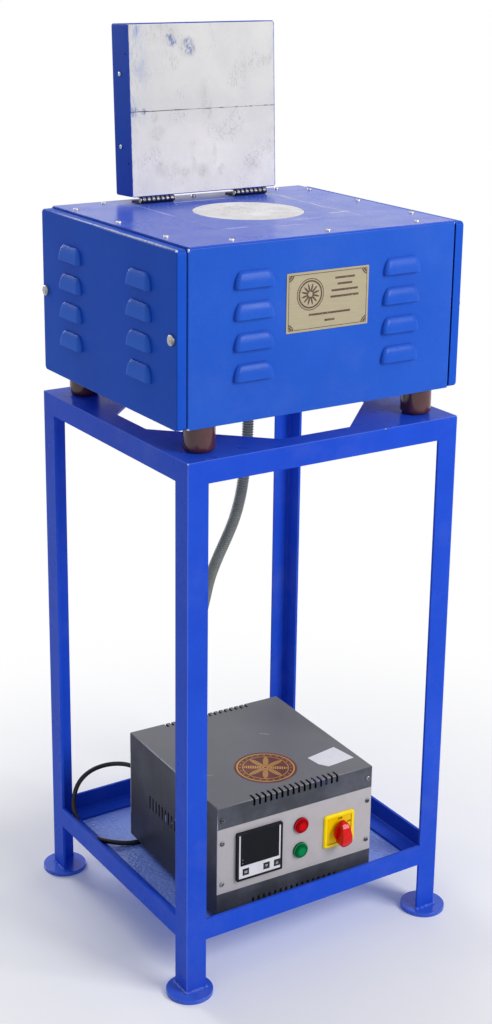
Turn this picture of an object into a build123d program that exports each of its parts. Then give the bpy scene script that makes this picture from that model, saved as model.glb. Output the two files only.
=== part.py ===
from build123d import *

import os
from math import cos, pi, radians, sin, sqrt, tan

# Electric gold melting furnace: a square top-loading crucible furnace on an angle-iron stand, with a
# control box on the stand's tray. The origin is on the floor under the stand's centre, the front faces -Y,
# +Z is up, and every length is in millimetres.

os.makedirs("parts", exist_ok=True)

# ------------------------------------------------------------------ stand sizes
STAND_W = 560.0
STAND_D = 525.0
STAND_H = 1000.0
ANGLE = 40.0
ANGLE_T = 5.0
ANGLE_ROOT_R = 4.0
ANGLE_TOE_R = 1.5
DISC_R = 42.5
DISC_T = 8.0
DISC_INSET = 15.0
DISC_EDGE_R = 1.0
TRAY_TOP = 106.0
TRAY_T = 2.0
TRAY_CORNER_R = 8.0
GUSSET_T = 5.0
GUSSET_REACH = 208.0

# ------------------------------------------------------------------ furnace sizes
SHEET = 1.5
FURNACE_W = 540.0
FURNACE_D = 480.0
FURNACE_H = 300.0
FURNACE_SHIFT_X = 3.0
FOOT_H = 48.0
FOOT_R = 27.5
FOOT_EDGE_R = 8.0
FOOT_INSET_X = 43.0
FOOT_INSET_Y = 35.0
TOP_T = 2.0
TOP_INSET = 1.5
BEND_R = 2.5
TOP_RETURN = 35.0
SIDE_RETURN = 30.0
BASE_T = 2.0
BASE_RIM = 15.0
COVER_GAP = 2.5
COVER_DEPTH = 17.5
COVER_DROP = 3.0
COVER_CORNER_R = 8.0
BOLT_HEAD_R = 9.5
BOLT_HEAD_H = 5.5
BOLT_SHANK_R = 4.0
BOLT_SLEEVE_R = 6.5
BOLT_INSET_Y = 15.0
BOLT_RISE = 150.0
SCREW_HEAD_R = 4.5
SCREW_HEAD_H = 2.8
SCREW_R = 2.0
SCREW_L = 8.0
SCREW_CLEARANCE = 0.1
PLATE_W = 167.0
PLATE_H = 101.0
PLATE_T = 1.2
PLATE_CORNER_R = 1.0
PLATE_X = 271.7
PLATE_RISE = 189.3

# Places of the top plate's screws, from the casing's front-left corner.
SCREW_ROW_X = (95.0, 285.0, 472.0)
SCREW_ROW_INSET = 22.0
SCREW_COLUMN_Y = (100.0, 260.0, 418.0)
SCREW_COLUMN_INSET = 18.0

# Pressed louvres: a column's centre and its lowest louvre, from the panel's left end and lower edge.
LOUVRE_W = 78.0
LOUVRE_H = 28.0
LOUVRE_OUT = 9.0
LOUVRE_NARROW = 14.0
LOUVRE_CORNER = 10.0
LOUVRE_PITCH = 51.5
LOUVRE_COUNT = 4
LOUVRE_SHARES = (0.0, 0.38, 0.68, 0.88, 0.97)
FRONT_LOUVRES = ((125.0, 71.0), (425.5, 65.0))
SIDE_LOUVRES = ((120.0, 64.0), (365.0, 64.0))

# ------------------------------------------------------------------ chamber sizes
MOUTH_X = 14.0
MOUTH_Y = 22.0
MOUTH_R = 100.0
LINER_BORE_R = 88.0
LINER_H = 218.0
INSULATION_W = 420.0
INSULATION_D = 350.0
PLUG_T = 28.0
PLUG_CLEARANCE = 0.3
PLUG_EDGE_R = 1.0
HEARTH_T = 20.0
HEARTH_CLEARANCE = 0.3
PEDESTAL_R = 36.0
PEDESTAL_H = 12.0
CRUCIBLE_TOP_R = 55.0
CRUCIBLE_BASE_R = 40.0
CRUCIBLE_H = 140.0
CRUCIBLE_WALL = 10.0
ELEMENT_WIRE_R = 2.0
ELEMENT_RUNS = 16
ELEMENT_RADIUS = 82.0
ELEMENT_HEADROOM = 12.0
PROBE_R = 4.0
PROBE_RISE = 160.0
PROBE_TIP_R = 68.0
PROBE_HEAD_R = 12.0
PROBE_HEAD_L = 20.0
TERMINAL_W = 80.0
TERMINAL_D = 24.0
TERMINAL_H = 30.0
TERMINAL_RISE = 60.0
TERMINAL_X = -150.0

# ------------------------------------------------------------------ lid sizes
LID_W = 310.0
LID_L = 306.0
LID_T = 62.0
LID_X = 19.0
LID_SHEET = 1.5
LID_CORNER_R = 4.0
LID_OPEN = 92.6
LID_GAP = 0.5
BOARD_PROUD = 0.8
BOARD_SEAM = 152.0
BOARD_SEAM_GAP = 0.6
HINGE_Y = 181.0
HINGE_KNUCKLE_R = 6.25
HINGE_LIFT = 0.3
HINGE_PIN_R = 3.0
HINGE_FIT = 0.05
HINGE_LEAF_T = 2.5
HINGE_LEAF_W = 34.0
HINGE_L = 68.0
HINGE_KNUCKLES = 7
HINGE_KNUCKLE_GAP = 0.4
HINGE_HEAD_R = 4.8
HINGE_HEAD_T = 2.0
HINGE_CENTRES = (-101.0, 101.0)
LID_SCREW_SPOTS = ((89.0, 36.0), (218.0, 33.0))
LID_SCREW_R = 4.0
LID_SCREW_H = 2.2
HANDLE_L = 120.0
HANDLE_REACH = 32.0
HANDLE_R = 5.0
HANDLE_BEND_R = 12.0
HANDLE_FROM_EDGE = 60.0

# ------------------------------------------------------------------ control box sizes
BOX_X = -198.2
BOX_Y = -230.7
BOX_TURN = 2.0
BOX_W = 332.0
BOX_D = 341.0
BOX_H = 220.0
BOX_SHEET = 1.5
BOX_EDGE_R = 2.5
BOX_FOOT_R = 11.0
BOX_FOOT_H = 12.0
BOX_FOOT_INSET = 52.0
BOX_FOOT_EDGE_R = 1.5
FASCIA_T = 2.0
FASCIA_LOW = 46.5
FASCIA_HIGH = 176.5
FASCIA_GAP = 0.4
BOX_FLANGE = 16.0
BOX_RIM = 15.0
SLOT_COUNT = 16
SLOT_FIRST = 76.0
SLOT_LAST = 254.0
SLOT_W = 4.6
SLOT_REACH = 16.0
SLOT_DROP = 14.0
SLOT_RISE = 19.5
VENT_COUNT = 15
VENT_FIRST = 259.0
VENT_PITCH = 12.4
VENT_W = 5.0
VENT_LOW = 95.0
VENT_HIGH = 122.0
FASCIA_SCREWS = ((10.0, 147.5), (10.0, 66.0), (323.0, 149.9), (323.0, 68.8))
LIP_SCREWS = ((10.0, 194.0), (323.0, 196.0))
BOX_SCREW_R = 4.2
BOX_SCREW_H = 2.2

# Temperature controller, lamps and switch, placed on the fascia from the box's lower left corner.
METER_X = 86.0
METER_Z = 112.5
METER = 96.0
METER_PROUD = 6.0
METER_EDGE_R = 2.0
METER_BODY = 90.0
METER_DEPTH = 80.0
METER_CUTOUT = 91.0
METER_FRAME = 4.0
METER_FRAME_R = 1.0
METER_RECESS = 1.0
WINDOW_W = 81.0
WINDOW_H = 62.4
WINDOW_RISE = 12.7
WINDOW_T = 1.0
KEY = 13.0
KEY_CLEARANCE = 0.3
KEY_PROUD = 0.6
KEY_T = 2.2
KEY_TRAVEL = 0.8
KEY_CORNER_R = 1.5
KEY_SPOTS = {"key_mode": (56.8, 80.5), "key_down": (100.5, 80.5), "key_up": (123.0, 80.5)}
LAMP_SPOTS = {"lamp_red": (176.0, 139.5), "lamp_green": (175.5, 88.5)}
LAMP_BEZEL_R = 15.0
LAMP_BEZEL_T = 4.0
LAMP_BARREL_R = 11.0
LAMP_BARREL_L = 30.0
LAMP_LENS_R = 12.5
LAMP_LENS_T = 3.6
LAMP_LENS_EDGE_R = 1.2
LAMP_CAP_R = 9.0
LAMP_CAP_T = 0.8
SWITCH_X = 259.6
SWITCH_Z = 108.5
SWITCH_PLATE = 67.0
SWITCH_PLATE_T = 4.5
SWITCH_PLATE_R = 6.0
SWITCH_PLATE_EDGE = 2.0
SWITCH_FIELD = 52.0
SWITCH_FIELD_R = 3.0
SWITCH_FIELD_DEPTH = 1.0
KNOB_R = 17.5
KNOB_ROOT_R = 11.0
KNOB_FLARE_T = 7.0
KNOB_BASE_T = 11.0
KNOB_GRIP_L = 50.0
KNOB_GRIP_RISE = -1.5
KNOB_GRIP_HEEL_R = 12.5
KNOB_GRIP_NOSE_R = 9.0
KNOB_GRIP_T = 28.0
KNOB_GRIP_NOSE_T = 13.0
KNOB_GRIP_HEEL_T = 20.0
KNOB_EDGE_R = 3.0
KNOB_GAP = 0.3
SHAFT_R = 4.0
SHAFT_FIT = 0.05
SHAFT_L = 18.0
SWITCH_BODY = 46.0
SWITCH_BODY_L = 42.0
SWITCH_BODY_R = 3.0
RELAY_W = 60.0
RELAY_D = 45.0
RELAY_H = 30.0
RELAY_X = 200.0
RELAY_Y = 190.0

# ------------------------------------------------------------------ conduit and cord sizes
CONDUIT_R = 11.0
CONDUIT_GROOVE_R = 9.8
CONDUIT_BORE_R = 8.5
CONDUIT_RIBS = 180
CONDUIT_X = 31.5
CONDUIT_Y = 40.0
CONDUIT_BOX_X = 210.0
CONDUIT_BOX_Z = 132.0
CONDUIT_STUB = 53.6
GLAND_NUT_R = 17.0
GLAND_NUT_T = 12.0
GLAND_SLEEVE_R = 14.0
GLAND_SLEEVE_L = 14.0
GLAND_BOX_SLEEVE_L = 4.0
CORD_R = 4.5
CORD_BOX_X = 42.0
CORD_BOX_Z = 108.0
CORD_STUB = 26.0
CORD_LIFT = 0.1
CORD_HUMP = 0.5
RELIEF_FLANGE_R = 12.0
RELIEF_FLANGE_T = 3.0
RELIEF_ROOT_R = 8.5
RELIEF_TIP_R = 5.6
RELIEF_L = 28.0
RELIEF_BARREL_R = 8.0
RELIEF_BARREL_L = 10.0
RUN_SHARE = 0.45
COIL_X = 20.0
COIL_Y = 163.0
COIL_R = 54.5
COIL_PITCH = 9.8
COIL_LAYER = 9.8
COIL_TURNS_IN = 2
COIL_TURNS_OUT = 2.125
COIL_START_ANGLE = -90.0
COIL_ROUNDING = 0.25
COIL_CLIMB = 0.5
COIL_LEAD_IN = 9.0
COIL_LEAD_OUT = 24.0
PLUG_BODY_L = 44.0
PLUG_BODY_W = 36.0
PLUG_TAPER_L = 26.0
PLUG_PIN_R = 2.6
PLUG_PIN_L = 18.0
PLUG_PIN_SPACING = 11.0
PLUG_BODY_EDGE_R = 4.0

# ------------------------------------------------------------------ heights worked out from the sizes above
FURNACE_Z = STAND_H + FOOT_H
FURNACE_TOP = FURNACE_Z + FURNACE_H
PANEL_TOP = FURNACE_TOP - TOP_T
LEFT = FURNACE_SHIFT_X - FURNACE_W / 2
RIGHT = FURNACE_SHIFT_X + FURNACE_W / 2
FRONT = -FURNACE_D / 2
REAR = FURNACE_D / 2
INSULATION_Z = FURNACE_Z + BASE_T
PLUG_Z = FURNACE_TOP - PLUG_T
LINER_Z = PLUG_Z - LINER_H
HEARTH_TOP = LINER_Z + HEARTH_T
CRUCIBLE_Z = HEARTH_TOP + PEDESTAL_H
HINGE_Z = FURNACE_TOP + HINGE_LIFT + HINGE_KNUCKLE_R
MOUTH = (MOUTH_X, MOUTH_Y)

# The control box's own frame: x to the right along its front, y towards its back, z up from its underside.
BOX = Plane(
    origin=(BOX_X, BOX_Y, TRAY_TOP + BOX_FOOT_H),
    x_dir=(cos(radians(BOX_TURN)), -sin(radians(BOX_TURN)), 0),
)
BOX_BACK = BOX.y_dir


def block(x, y, z, mode=Mode.ADD):
    """Box between two coordinates along each axis of the active plane."""
    with Locations(((x[0] + x[1]) / 2, (y[0] + y[1]) / 2, (z[0] + z[1]) / 2)):
        Box(x[1] - x[0], y[1] - y[0], z[1] - z[0], mode=mode)


def box_face(x, z, y=0.0, outward=-1):
    """Plane on the control box's front (outward -1) or back (outward 1), with its origin at x, z."""
    return Plane(
        origin=BOX.from_local_coords((x, y, z)), x_dir=BOX.x_dir * -outward, z_dir=BOX_BACK * outward
    )


# ------------------------------------------------------------------ stand
def angle_section(plane):
    """Angle-iron section with its outer corner on the plane's origin and its legs along x and y."""
    with BuildSketch(plane) as section:
        with BuildLine():
            Polyline(
                (0, 0),
                (ANGLE, 0),
                (ANGLE, ANGLE_T),
                (ANGLE_T, ANGLE_T),
                (ANGLE_T, ANGLE),
                (0, ANGLE),
                close=True,
            )
        make_face()
        corners = section.vertices()
        root = corners.sort_by_distance((ANGLE_T, ANGLE_T, 0))[0]
        toes = [corners.sort_by_distance(spot)[0] for spot in ((ANGLE, ANGLE_T, 0), (ANGLE_T, ANGLE, 0))]
        heel = corners.sort_by_distance((0, 0, 0))[0]
        fillet(root, ANGLE_ROOT_R)
        fillet([*toes, heel], ANGLE_TOE_R)
    return section.sketch


def side_axes(turn):
    """Directions along and into the stand for the side at this turn, and its half span and distance."""
    along = Vector(1, 0, 0).rotate(Axis.Z, turn)
    inward = Vector(0, 1, 0).rotate(Axis.Z, turn)
    if turn % 180 == 0:
        return along, inward, STAND_W / 2, STAND_D / 2
    return along, inward, STAND_D / 2, STAND_W / 2


def top_rail(turn):
    """Rail with one flange on top and one outside, mitred into its neighbours."""
    along, inward, half_span, distance = side_axes(turn)
    corner = along * half_span - inward * distance
    with BuildPart() as rail:
        end = Plane(origin=corner + Vector(0, 0, STAND_H), x_dir=inward, z_dir=-along)
        extrude(to_extrude=angle_section(end), amount=2 * half_span)
        with BuildSketch(Plane.XY.offset(STAND_H - ANGLE)):
            with BuildLine():
                Polyline(
                    corner,
                    corner + (inward - along) * ANGLE,
                    corner + inward * ANGLE - along * (2 * half_span - ANGLE),
                    corner - along * 2 * half_span,
                    close=True,
                )
            make_face()
        extrude(amount=ANGLE, mode=Mode.INTERSECT)
    return rail.part


def lower_rail(turn):
    """Rail between two legs, its upright flange outside and its flat flange on the tray sheet."""
    along, inward, half_span, distance = side_axes(turn)
    start = inward * -distance - along * (half_span - ANGLE) + Vector(0, 0, TRAY_TOP)
    with BuildPart() as rail:
        extrude(
            to_extrude=angle_section(Plane(origin=start, x_dir=inward, z_dir=along)),
            amount=2 * (half_span - ANGLE),
        )
    return rail.part


LEG_TURNS = {"front_left": 0, "front_right": 90, "rear_right": 180, "rear_left": 270}
for place, turn in LEG_TURNS.items():
    side_x = -1 if place.endswith("left") else 1
    side_y = -1 if place.startswith("front") else 1
    foot = Plane(
        origin=(side_x * STAND_W / 2, side_y * STAND_D / 2, DISC_T),
        x_dir=Vector(1, 0, 0).rotate(Axis.Z, turn),
    )
    with BuildPart() as leg:
        extrude(to_extrude=angle_section(foot), amount=STAND_H - ANGLE - DISC_T)
    leg.part.label = f"leg_{place}"
    export_step(leg.part, f"parts/leg_{place}.step")

RAIL_TURNS = {"front_rear": (0, 180), "sides": (90, 270)}
for place, turns in RAIL_TURNS.items():
    with BuildPart() as top_rails:
        for turn in turns:
            add(top_rail(turn))
    top_rails.part.label = f"top_rails_{place}"
    export_step(top_rails.part, f"parts/top_rails_{place}.step")

    with BuildPart() as lower_rails:
        for turn in turns:
            add(lower_rail(turn))
    lower_rails.part.label = f"lower_rails_{place}"
    export_step(lower_rails.part, f"parts/lower_rails_{place}.step")

# Round plates under the legs, welded on.
with BuildPart() as foot_plates:
    with BuildSketch():
        with GridLocations(STAND_W - 2 * DISC_INSET, STAND_D - 2 * DISC_INSET, 2, 2):
            Circle(DISC_R)
    extrude(amount=DISC_T)
    fillet(foot_plates.faces().filter_by(Plane.XY).edges(), DISC_EDGE_R)
foot_plates.part.label = "foot_plates"
export_step(foot_plates.part, "parts/foot_plates.step")

# Tray sheet under the lower rails' flat flanges, between the legs.
with BuildPart() as tray_floor:
    with BuildSketch(Plane.XY.offset(TRAY_TOP - TRAY_T)):
        RectangleRounded(STAND_W - 2 * ANGLE_T, STAND_D - 2 * ANGLE_T, TRAY_CORNER_R)
    extrude(amount=TRAY_T)
tray_floor.part.label = "tray_floor"
export_step(tray_floor.part, "parts/tray_floor.step")

# Triangular plates inside the top rails' corners, flush with the rails: the furnace's feet stand on them.
with BuildPart() as corner_gussets:
    with BuildSketch(Plane.XY.offset(STAND_H - GUSSET_T)):
        for side_x in (-1, 1):
            for side_y in (-1, 1):
                near_x, near_y = side_x * (STAND_W / 2 - ANGLE), side_y * (STAND_D / 2 - ANGLE)
                reach = GUSSET_REACH - ANGLE
                with BuildLine():
                    Polyline(
                        (near_x, near_y),
                        (near_x - side_x * reach, near_y),
                        (near_x, near_y - side_y * reach),
                        close=True,
                    )
                make_face()
    extrude(amount=GUSSET_T)
corner_gussets.part.label = "corner_gussets"
export_step(corner_gussets.part, "parts/corner_gussets.step")


# ------------------------------------------------------------------ furnace casing
def louvre_hood(inset, sink):
    """Pressed hood, its lower edge on the x axis, rising along y and standing out along z."""
    with BuildPart() as hood:
        for share in LOUVRE_SHARES:
            swell = sqrt(1 - share**2)
            half = LOUVRE_W / 2 - inset - LOUVRE_NARROW * (1 - swell)
            out = LOUVRE_OUT * swell - inset
            height = share * LOUVRE_H - inset
            with BuildSketch(Plane(origin=(0, height, 0), x_dir=(1, 0, 0), z_dir=(0, -1, 0))):
                with BuildLine():
                    Polyline((-half, 0), (-half, -sink), (half, -sink), (half, 0))
                    Bezier((half, 0), (half, out), (half - LOUVRE_CORNER, out))
                    Line((half - LOUVRE_CORNER, out), (LOUVRE_CORNER - half, out))
                    Bezier((LOUVRE_CORNER - half, out), (-half, out), (-half, 0))
                make_face()
        loft()
    return hood.part


HOOD = louvre_hood(0.0, SHEET / 4)
HOOD_HOLLOW = louvre_hood(SHEET, 2 * SHEET)


def louvre_spots(columns, centre_x, centre_z):
    """Places of a panel's louvres, as seen from outside, round the panel's centre."""
    return [
        (column_x - centre_x, lowest + row * LOUVRE_PITCH - centre_z)
        for column_x, lowest in columns
        for row in range(LOUVRE_COUNT)
    ]


def screw(head_r, head_h, shank_r, shank_l):
    """Pan-head screw on the active plane, its head standing along z and its shank going down."""
    Cylinder(head_r, head_h, align=(Align.CENTER, Align.CENTER, Align.MIN))
    Cylinder(shank_r, shank_l, align=(Align.CENTER, Align.CENTER, Align.MAX))


# Four turned feet under the base plate.
with BuildPart(Plane.XY.offset(STAND_H)) as furnace_feet:
    with Locations((FURNACE_SHIFT_X, 0)):
        with GridLocations(FURNACE_W - 2 * FOOT_INSET_X, FURNACE_D - 2 * FOOT_INSET_Y, 2, 2):
            Cylinder(FOOT_R, FOOT_H, align=(Align.CENTER, Align.CENTER, Align.MIN))
    fillet(furnace_feet.edges().filter_by(GeomType.CIRCLE).group_by(Axis.Z)[0], FOOT_EDGE_R)
furnace_feet.part.label = "furnace_feet"
export_step(furnace_feet.part, "parts/furnace_feet.step")

# Shallow base pan between the upright panels.
with BuildPart() as base_plate:
    block((LEFT + SHEET, RIGHT - SHEET), (FRONT + SHEET, REAR - SHEET), (FURNACE_Z, FURNACE_Z + BASE_RIM))
    block(
        (LEFT + SHEET + BASE_T, RIGHT - SHEET - BASE_T),
        (FRONT + SHEET + BASE_T, REAR - SHEET - BASE_T),
        (FURNACE_Z + BASE_T, FURNACE_Z + BASE_RIM),
        mode=Mode.SUBTRACT,
    )
    with Locations((CONDUIT_X, CONDUIT_Y, FURNACE_Z)):
        Cylinder(CONDUIT_BORE_R, 4 * BASE_T, mode=Mode.SUBTRACT)
base_plate.part.label = "base_plate"
export_step(base_plate.part, "parts/base_plate.step")

# Front panel: face, two short side returns and a top return that carries the top plate.
FRONT_FACE = Plane(
    origin=(FURNACE_SHIFT_X, FRONT, (FURNACE_Z + PANEL_TOP) / 2), x_dir=(1, 0, 0), z_dir=(0, -1, 0)
)
with BuildPart() as front_panel:
    block((LEFT, RIGHT), (FRONT, FRONT + TOP_RETURN), (FURNACE_Z, PANEL_TOP))
    face_edges = front_panel.faces().sort_by(Axis.Y)[0].edges()
    fillet([face_edges.sort_by(Axis.Z)[-1], *face_edges.filter_by(Axis.Z)], BEND_R)
    block(
        (LEFT + SHEET, RIGHT - SHEET),
        (FRONT + SHEET, FRONT + TOP_RETURN),
        (FURNACE_Z, PANEL_TOP - SHEET),
        mode=Mode.SUBTRACT,
    )
    for side in ((LEFT, LEFT + SHEET), (RIGHT - SHEET, RIGHT)):
        block(side, (FRONT + SIDE_RETURN, FRONT + TOP_RETURN), (FURNACE_Z, PANEL_TOP), mode=Mode.SUBTRACT)
    front_spots = louvre_spots(FRONT_LOUVRES, FURNACE_W / 2, (PANEL_TOP - FURNACE_Z) / 2)
    with Locations(FRONT_FACE):
        with Locations(*front_spots):
            add(HOOD)
            add(HOOD_HOLLOW, mode=Mode.SUBTRACT)
    with Locations(*[(LEFT + x, FRONT + SCREW_ROW_INSET, PANEL_TOP) for x in SCREW_ROW_X]):
        Cylinder(SCREW_R + SCREW_CLEARANCE, 4 * SHEET, mode=Mode.SUBTRACT)
front_panel.part.label = "front_panel"
export_step(front_panel.part, "parts/front_panel.step")

# Wrap: the rear wall and both side walls in one sheet, with a top return all round.
with BuildPart() as casing_wrap:
    wrap_front = FRONT + SIDE_RETURN
    block((LEFT, RIGHT), (wrap_front, REAR), (FURNACE_Z, PANEL_TOP))
    fillet(casing_wrap.faces().sort_by(Axis.Y)[-1].edges().filter_by(Axis.Z), BEND_R)
    block(
        (LEFT + SHEET, RIGHT - SHEET),
        (wrap_front, REAR - SHEET),
        (FURNACE_Z, PANEL_TOP - SHEET),
        mode=Mode.SUBTRACT,
    )
    block(
        (LEFT + TOP_RETURN, RIGHT - TOP_RETURN),
        (wrap_front, REAR - TOP_RETURN),
        (FURNACE_Z, PANEL_TOP),
        mode=Mode.SUBTRACT,
    )
    block(
        (LEFT, RIGHT),
        (wrap_front, FRONT + TOP_RETURN),
        (PANEL_TOP - SHEET, PANEL_TOP),
        mode=Mode.SUBTRACT,
    )
    side_screws = [
        (side, FRONT + y, PANEL_TOP)
        for side in (LEFT + SCREW_COLUMN_INSET, RIGHT - SCREW_COLUMN_INSET)
        for y in SCREW_COLUMN_Y
    ]
    rear_screws = [(LEFT + x, REAR - SCREW_ROW_INSET, PANEL_TOP) for x in SCREW_ROW_X]
    with Locations(*side_screws, *rear_screws):
        Cylinder(SCREW_R + SCREW_CLEARANCE, 4 * SHEET, mode=Mode.SUBTRACT)
casing_wrap.part.label = "casing_wrap"
export_step(casing_wrap.part, "parts/casing_wrap.step")

# Side covers: shallow pans held off the casing by sleeved bolts.
COVER_TOP = FURNACE_TOP - COVER_DROP
COVER_H = COVER_TOP - FURNACE_Z
COVER_OUT = COVER_GAP + COVER_DEPTH
BOLT_SPOTS = [(side * (FURNACE_D / 2 - BOLT_INSET_Y), BOLT_RISE - COVER_H / 2) for side in (-1, 1)]


def cover_plane(outward):
    """Plane on the outer face of the right (outward 1) or left (outward -1) cover, at its middle."""
    wall = LEFT if outward < 0 else RIGHT
    return Plane(
        origin=(wall + outward * COVER_OUT, 0, (FURNACE_Z + COVER_TOP) / 2),
        x_dir=(0, outward, 0),
        z_dir=(outward, 0, 0),
    )


for place, outward in (("left", -1), ("right", 1)):
    cover_face = cover_plane(outward)
    columns = [(x if outward > 0 else FURNACE_D - x, lowest) for x, lowest in SIDE_LOUVRES]
    with BuildPart(cover_face) as side_cover:
        with BuildSketch(cover_face):
            RectangleRounded(FURNACE_D, COVER_H, COVER_CORNER_R)
        extrude(amount=-COVER_DEPTH)
        flat_faces = side_cover.faces().filter_by(Axis.X).sort_by(Axis.X)
        fillet(flat_faces[-1 if outward > 0 else 0].edges(), BEND_R)
        with BuildSketch(cover_face.offset(-SHEET)):
            RectangleRounded(FURNACE_D - 2 * SHEET, COVER_H - 2 * SHEET, COVER_CORNER_R - SHEET)
        extrude(amount=-COVER_DEPTH, mode=Mode.SUBTRACT)
        with Locations(*louvre_spots(columns, FURNACE_D / 2, COVER_H / 2)):
            add(HOOD)
            add(HOOD_HOLLOW, mode=Mode.SUBTRACT)
        with Locations(*BOLT_SPOTS):
            Cylinder(BOLT_SHANK_R + SCREW_CLEARANCE, 4 * SHEET, mode=Mode.SUBTRACT)
    side_cover.part.label = f"side_cover_{place}"
    export_step(side_cover.part, f"parts/side_cover_{place}.step")

# Cover bolts: a domed head outside, a shank through the cover, and the sleeve that spaces it off the casing.
with BuildPart() as side_cover_bolts:
    for outward in (-1, 1):
        face = cover_plane(outward)
        with Locations(face):
            with Locations(*BOLT_SPOTS):
                Cylinder(BOLT_HEAD_R, BOLT_HEAD_H, align=(Align.CENTER, Align.CENTER, Align.MIN))
                Cylinder(BOLT_SHANK_R, SHEET, align=(Align.CENTER, Align.CENTER, Align.MAX))
        with Locations(face.offset(-SHEET)):
            with Locations(*BOLT_SPOTS):
                Cylinder(BOLT_SLEEVE_R, COVER_OUT - SHEET, align=(Align.CENTER, Align.CENTER, Align.MAX))
    heads = side_cover_bolts.faces().filter_by(Axis.X).sort_by(Axis.X)
    fillet([*heads[:2].edges(), *heads[-2:].edges()], BOLT_HEAD_H / 2)
side_cover_bolts.part.label = "side_cover_bolts"
export_step(side_cover_bolts.part, "parts/side_cover_bolts.step")

# Top plate with the round mouth, screwed to the returns.
SCREW_SPOTS = (
    [(LEFT + x, FRONT + SCREW_ROW_INSET) for x in SCREW_ROW_X]
    + [(LEFT + x, REAR - SCREW_ROW_INSET) for x in SCREW_ROW_X]
    + [(LEFT + SCREW_COLUMN_INSET, FRONT + y) for y in SCREW_COLUMN_Y]
    + [(RIGHT - SCREW_COLUMN_INSET, FRONT + y) for y in SCREW_COLUMN_Y]
)
with BuildPart() as top_plate:
    with BuildSketch(Plane.XY.offset(PANEL_TOP)):
        with Locations((FURNACE_SHIFT_X, 0)):
            RectangleRounded(FURNACE_W - 2 * TOP_INSET, FURNACE_D - 2 * TOP_INSET, BEND_R)
        with Locations(MOUTH):
            Circle(MOUTH_R, mode=Mode.SUBTRACT)
        with Locations(*SCREW_SPOTS):
            Circle(SCREW_R + SCREW_CLEARANCE, mode=Mode.SUBTRACT)
    extrude(amount=TOP_T)
top_plate.part.label = "top_plate"
export_step(top_plate.part, "parts/top_plate.step")

with BuildPart(Plane.XY.offset(FURNACE_TOP)) as top_plate_screws:
    with Locations(*SCREW_SPOTS):
        screw(SCREW_HEAD_R, SCREW_HEAD_H, SCREW_R, SCREW_L)
    fillet(top_plate_screws.faces().filter_by(Plane.XY).group_by(Axis.Z)[-1].edges(), SCREW_HEAD_H / 2)
top_plate_screws.part.label = "top_plate_screws"
export_step(top_plate_screws.part, "parts/top_plate_screws.step")

# Plain data plate on the front.
PLATE_FACE = Plane(origin=(LEFT + PLATE_X, FRONT, FURNACE_Z + PLATE_RISE), x_dir=(1, 0, 0), z_dir=(0, -1, 0))
with BuildPart() as data_plate:
    with BuildSketch(PLATE_FACE):
        RectangleRounded(PLATE_W, PLATE_H, PLATE_CORNER_R)
    extrude(amount=PLATE_T)
data_plate.part.label = "data_plate"
export_step(data_plate.part, "parts/data_plate.step")

# ------------------------------------------------------------------ chamber
PROBE_Z = HEARTH_TOP + PROBE_RISE
PROBE_LINE = Plane(origin=(MOUTH_X, REAR - SHEET, PROBE_Z), x_dir=(1, 0, 0), z_dir=(0, -1, 0))

with BuildPart() as insulation_block:
    with Locations((MOUTH_X, MOUTH_Y, INSULATION_Z)):
        Box(
            INSULATION_W,
            INSULATION_D,
            PANEL_TOP - INSULATION_Z,
            align=(Align.CENTER, Align.CENTER, Align.MIN),
        )
    with Locations((MOUTH_X, MOUTH_Y, LINER_Z)):
        Cylinder(MOUTH_R, FURNACE_H, align=(Align.CENTER, Align.CENTER, Align.MIN), mode=Mode.SUBTRACT)
    with BuildSketch(PROBE_LINE):
        Circle(PROBE_R)
    extrude(amount=FURNACE_D / 2 - MOUTH_Y, mode=Mode.SUBTRACT)
insulation_block.part.label = "insulation_block"
export_step(insulation_block.part, "parts/insulation_block.step")

with BuildPart() as chamber_liner:
    with BuildSketch(Plane.XY.offset(LINER_Z)):
        with Locations(MOUTH):
            Circle(MOUTH_R)
            Circle(LINER_BORE_R, mode=Mode.SUBTRACT)
    extrude(amount=LINER_H)
    with BuildSketch(PROBE_LINE):
        Circle(PROBE_R)
    extrude(amount=FURNACE_D / 2 - MOUTH_Y, mode=Mode.SUBTRACT)
chamber_liner.part.label = "chamber_liner"
export_step(chamber_liner.part, "parts/chamber_liner.step")

with BuildPart(Plane.XY.offset(LINER_Z)) as chamber_hearth:
    with Locations(MOUTH):
        Cylinder(LINER_BORE_R - HEARTH_CLEARANCE, HEARTH_T, align=(Align.CENTER, Align.CENTER, Align.MIN))
        Cylinder(PEDESTAL_R, HEARTH_T + PEDESTAL_H, align=(Align.CENTER, Align.CENTER, Align.MIN))
chamber_hearth.part.label = "chamber_hearth"
export_step(chamber_hearth.part, "parts/chamber_hearth.step")


def element_point(run, height):
    """Point of the heating element on one of its upright runs."""
    angle = radians((run + 0.5) * 360 / ELEMENT_RUNS)
    return Vector(
        MOUTH_X + ELEMENT_RADIUS * cos(angle),
        MOUTH_Y + ELEMENT_RADIUS * sin(angle),
        height,
    )


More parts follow.
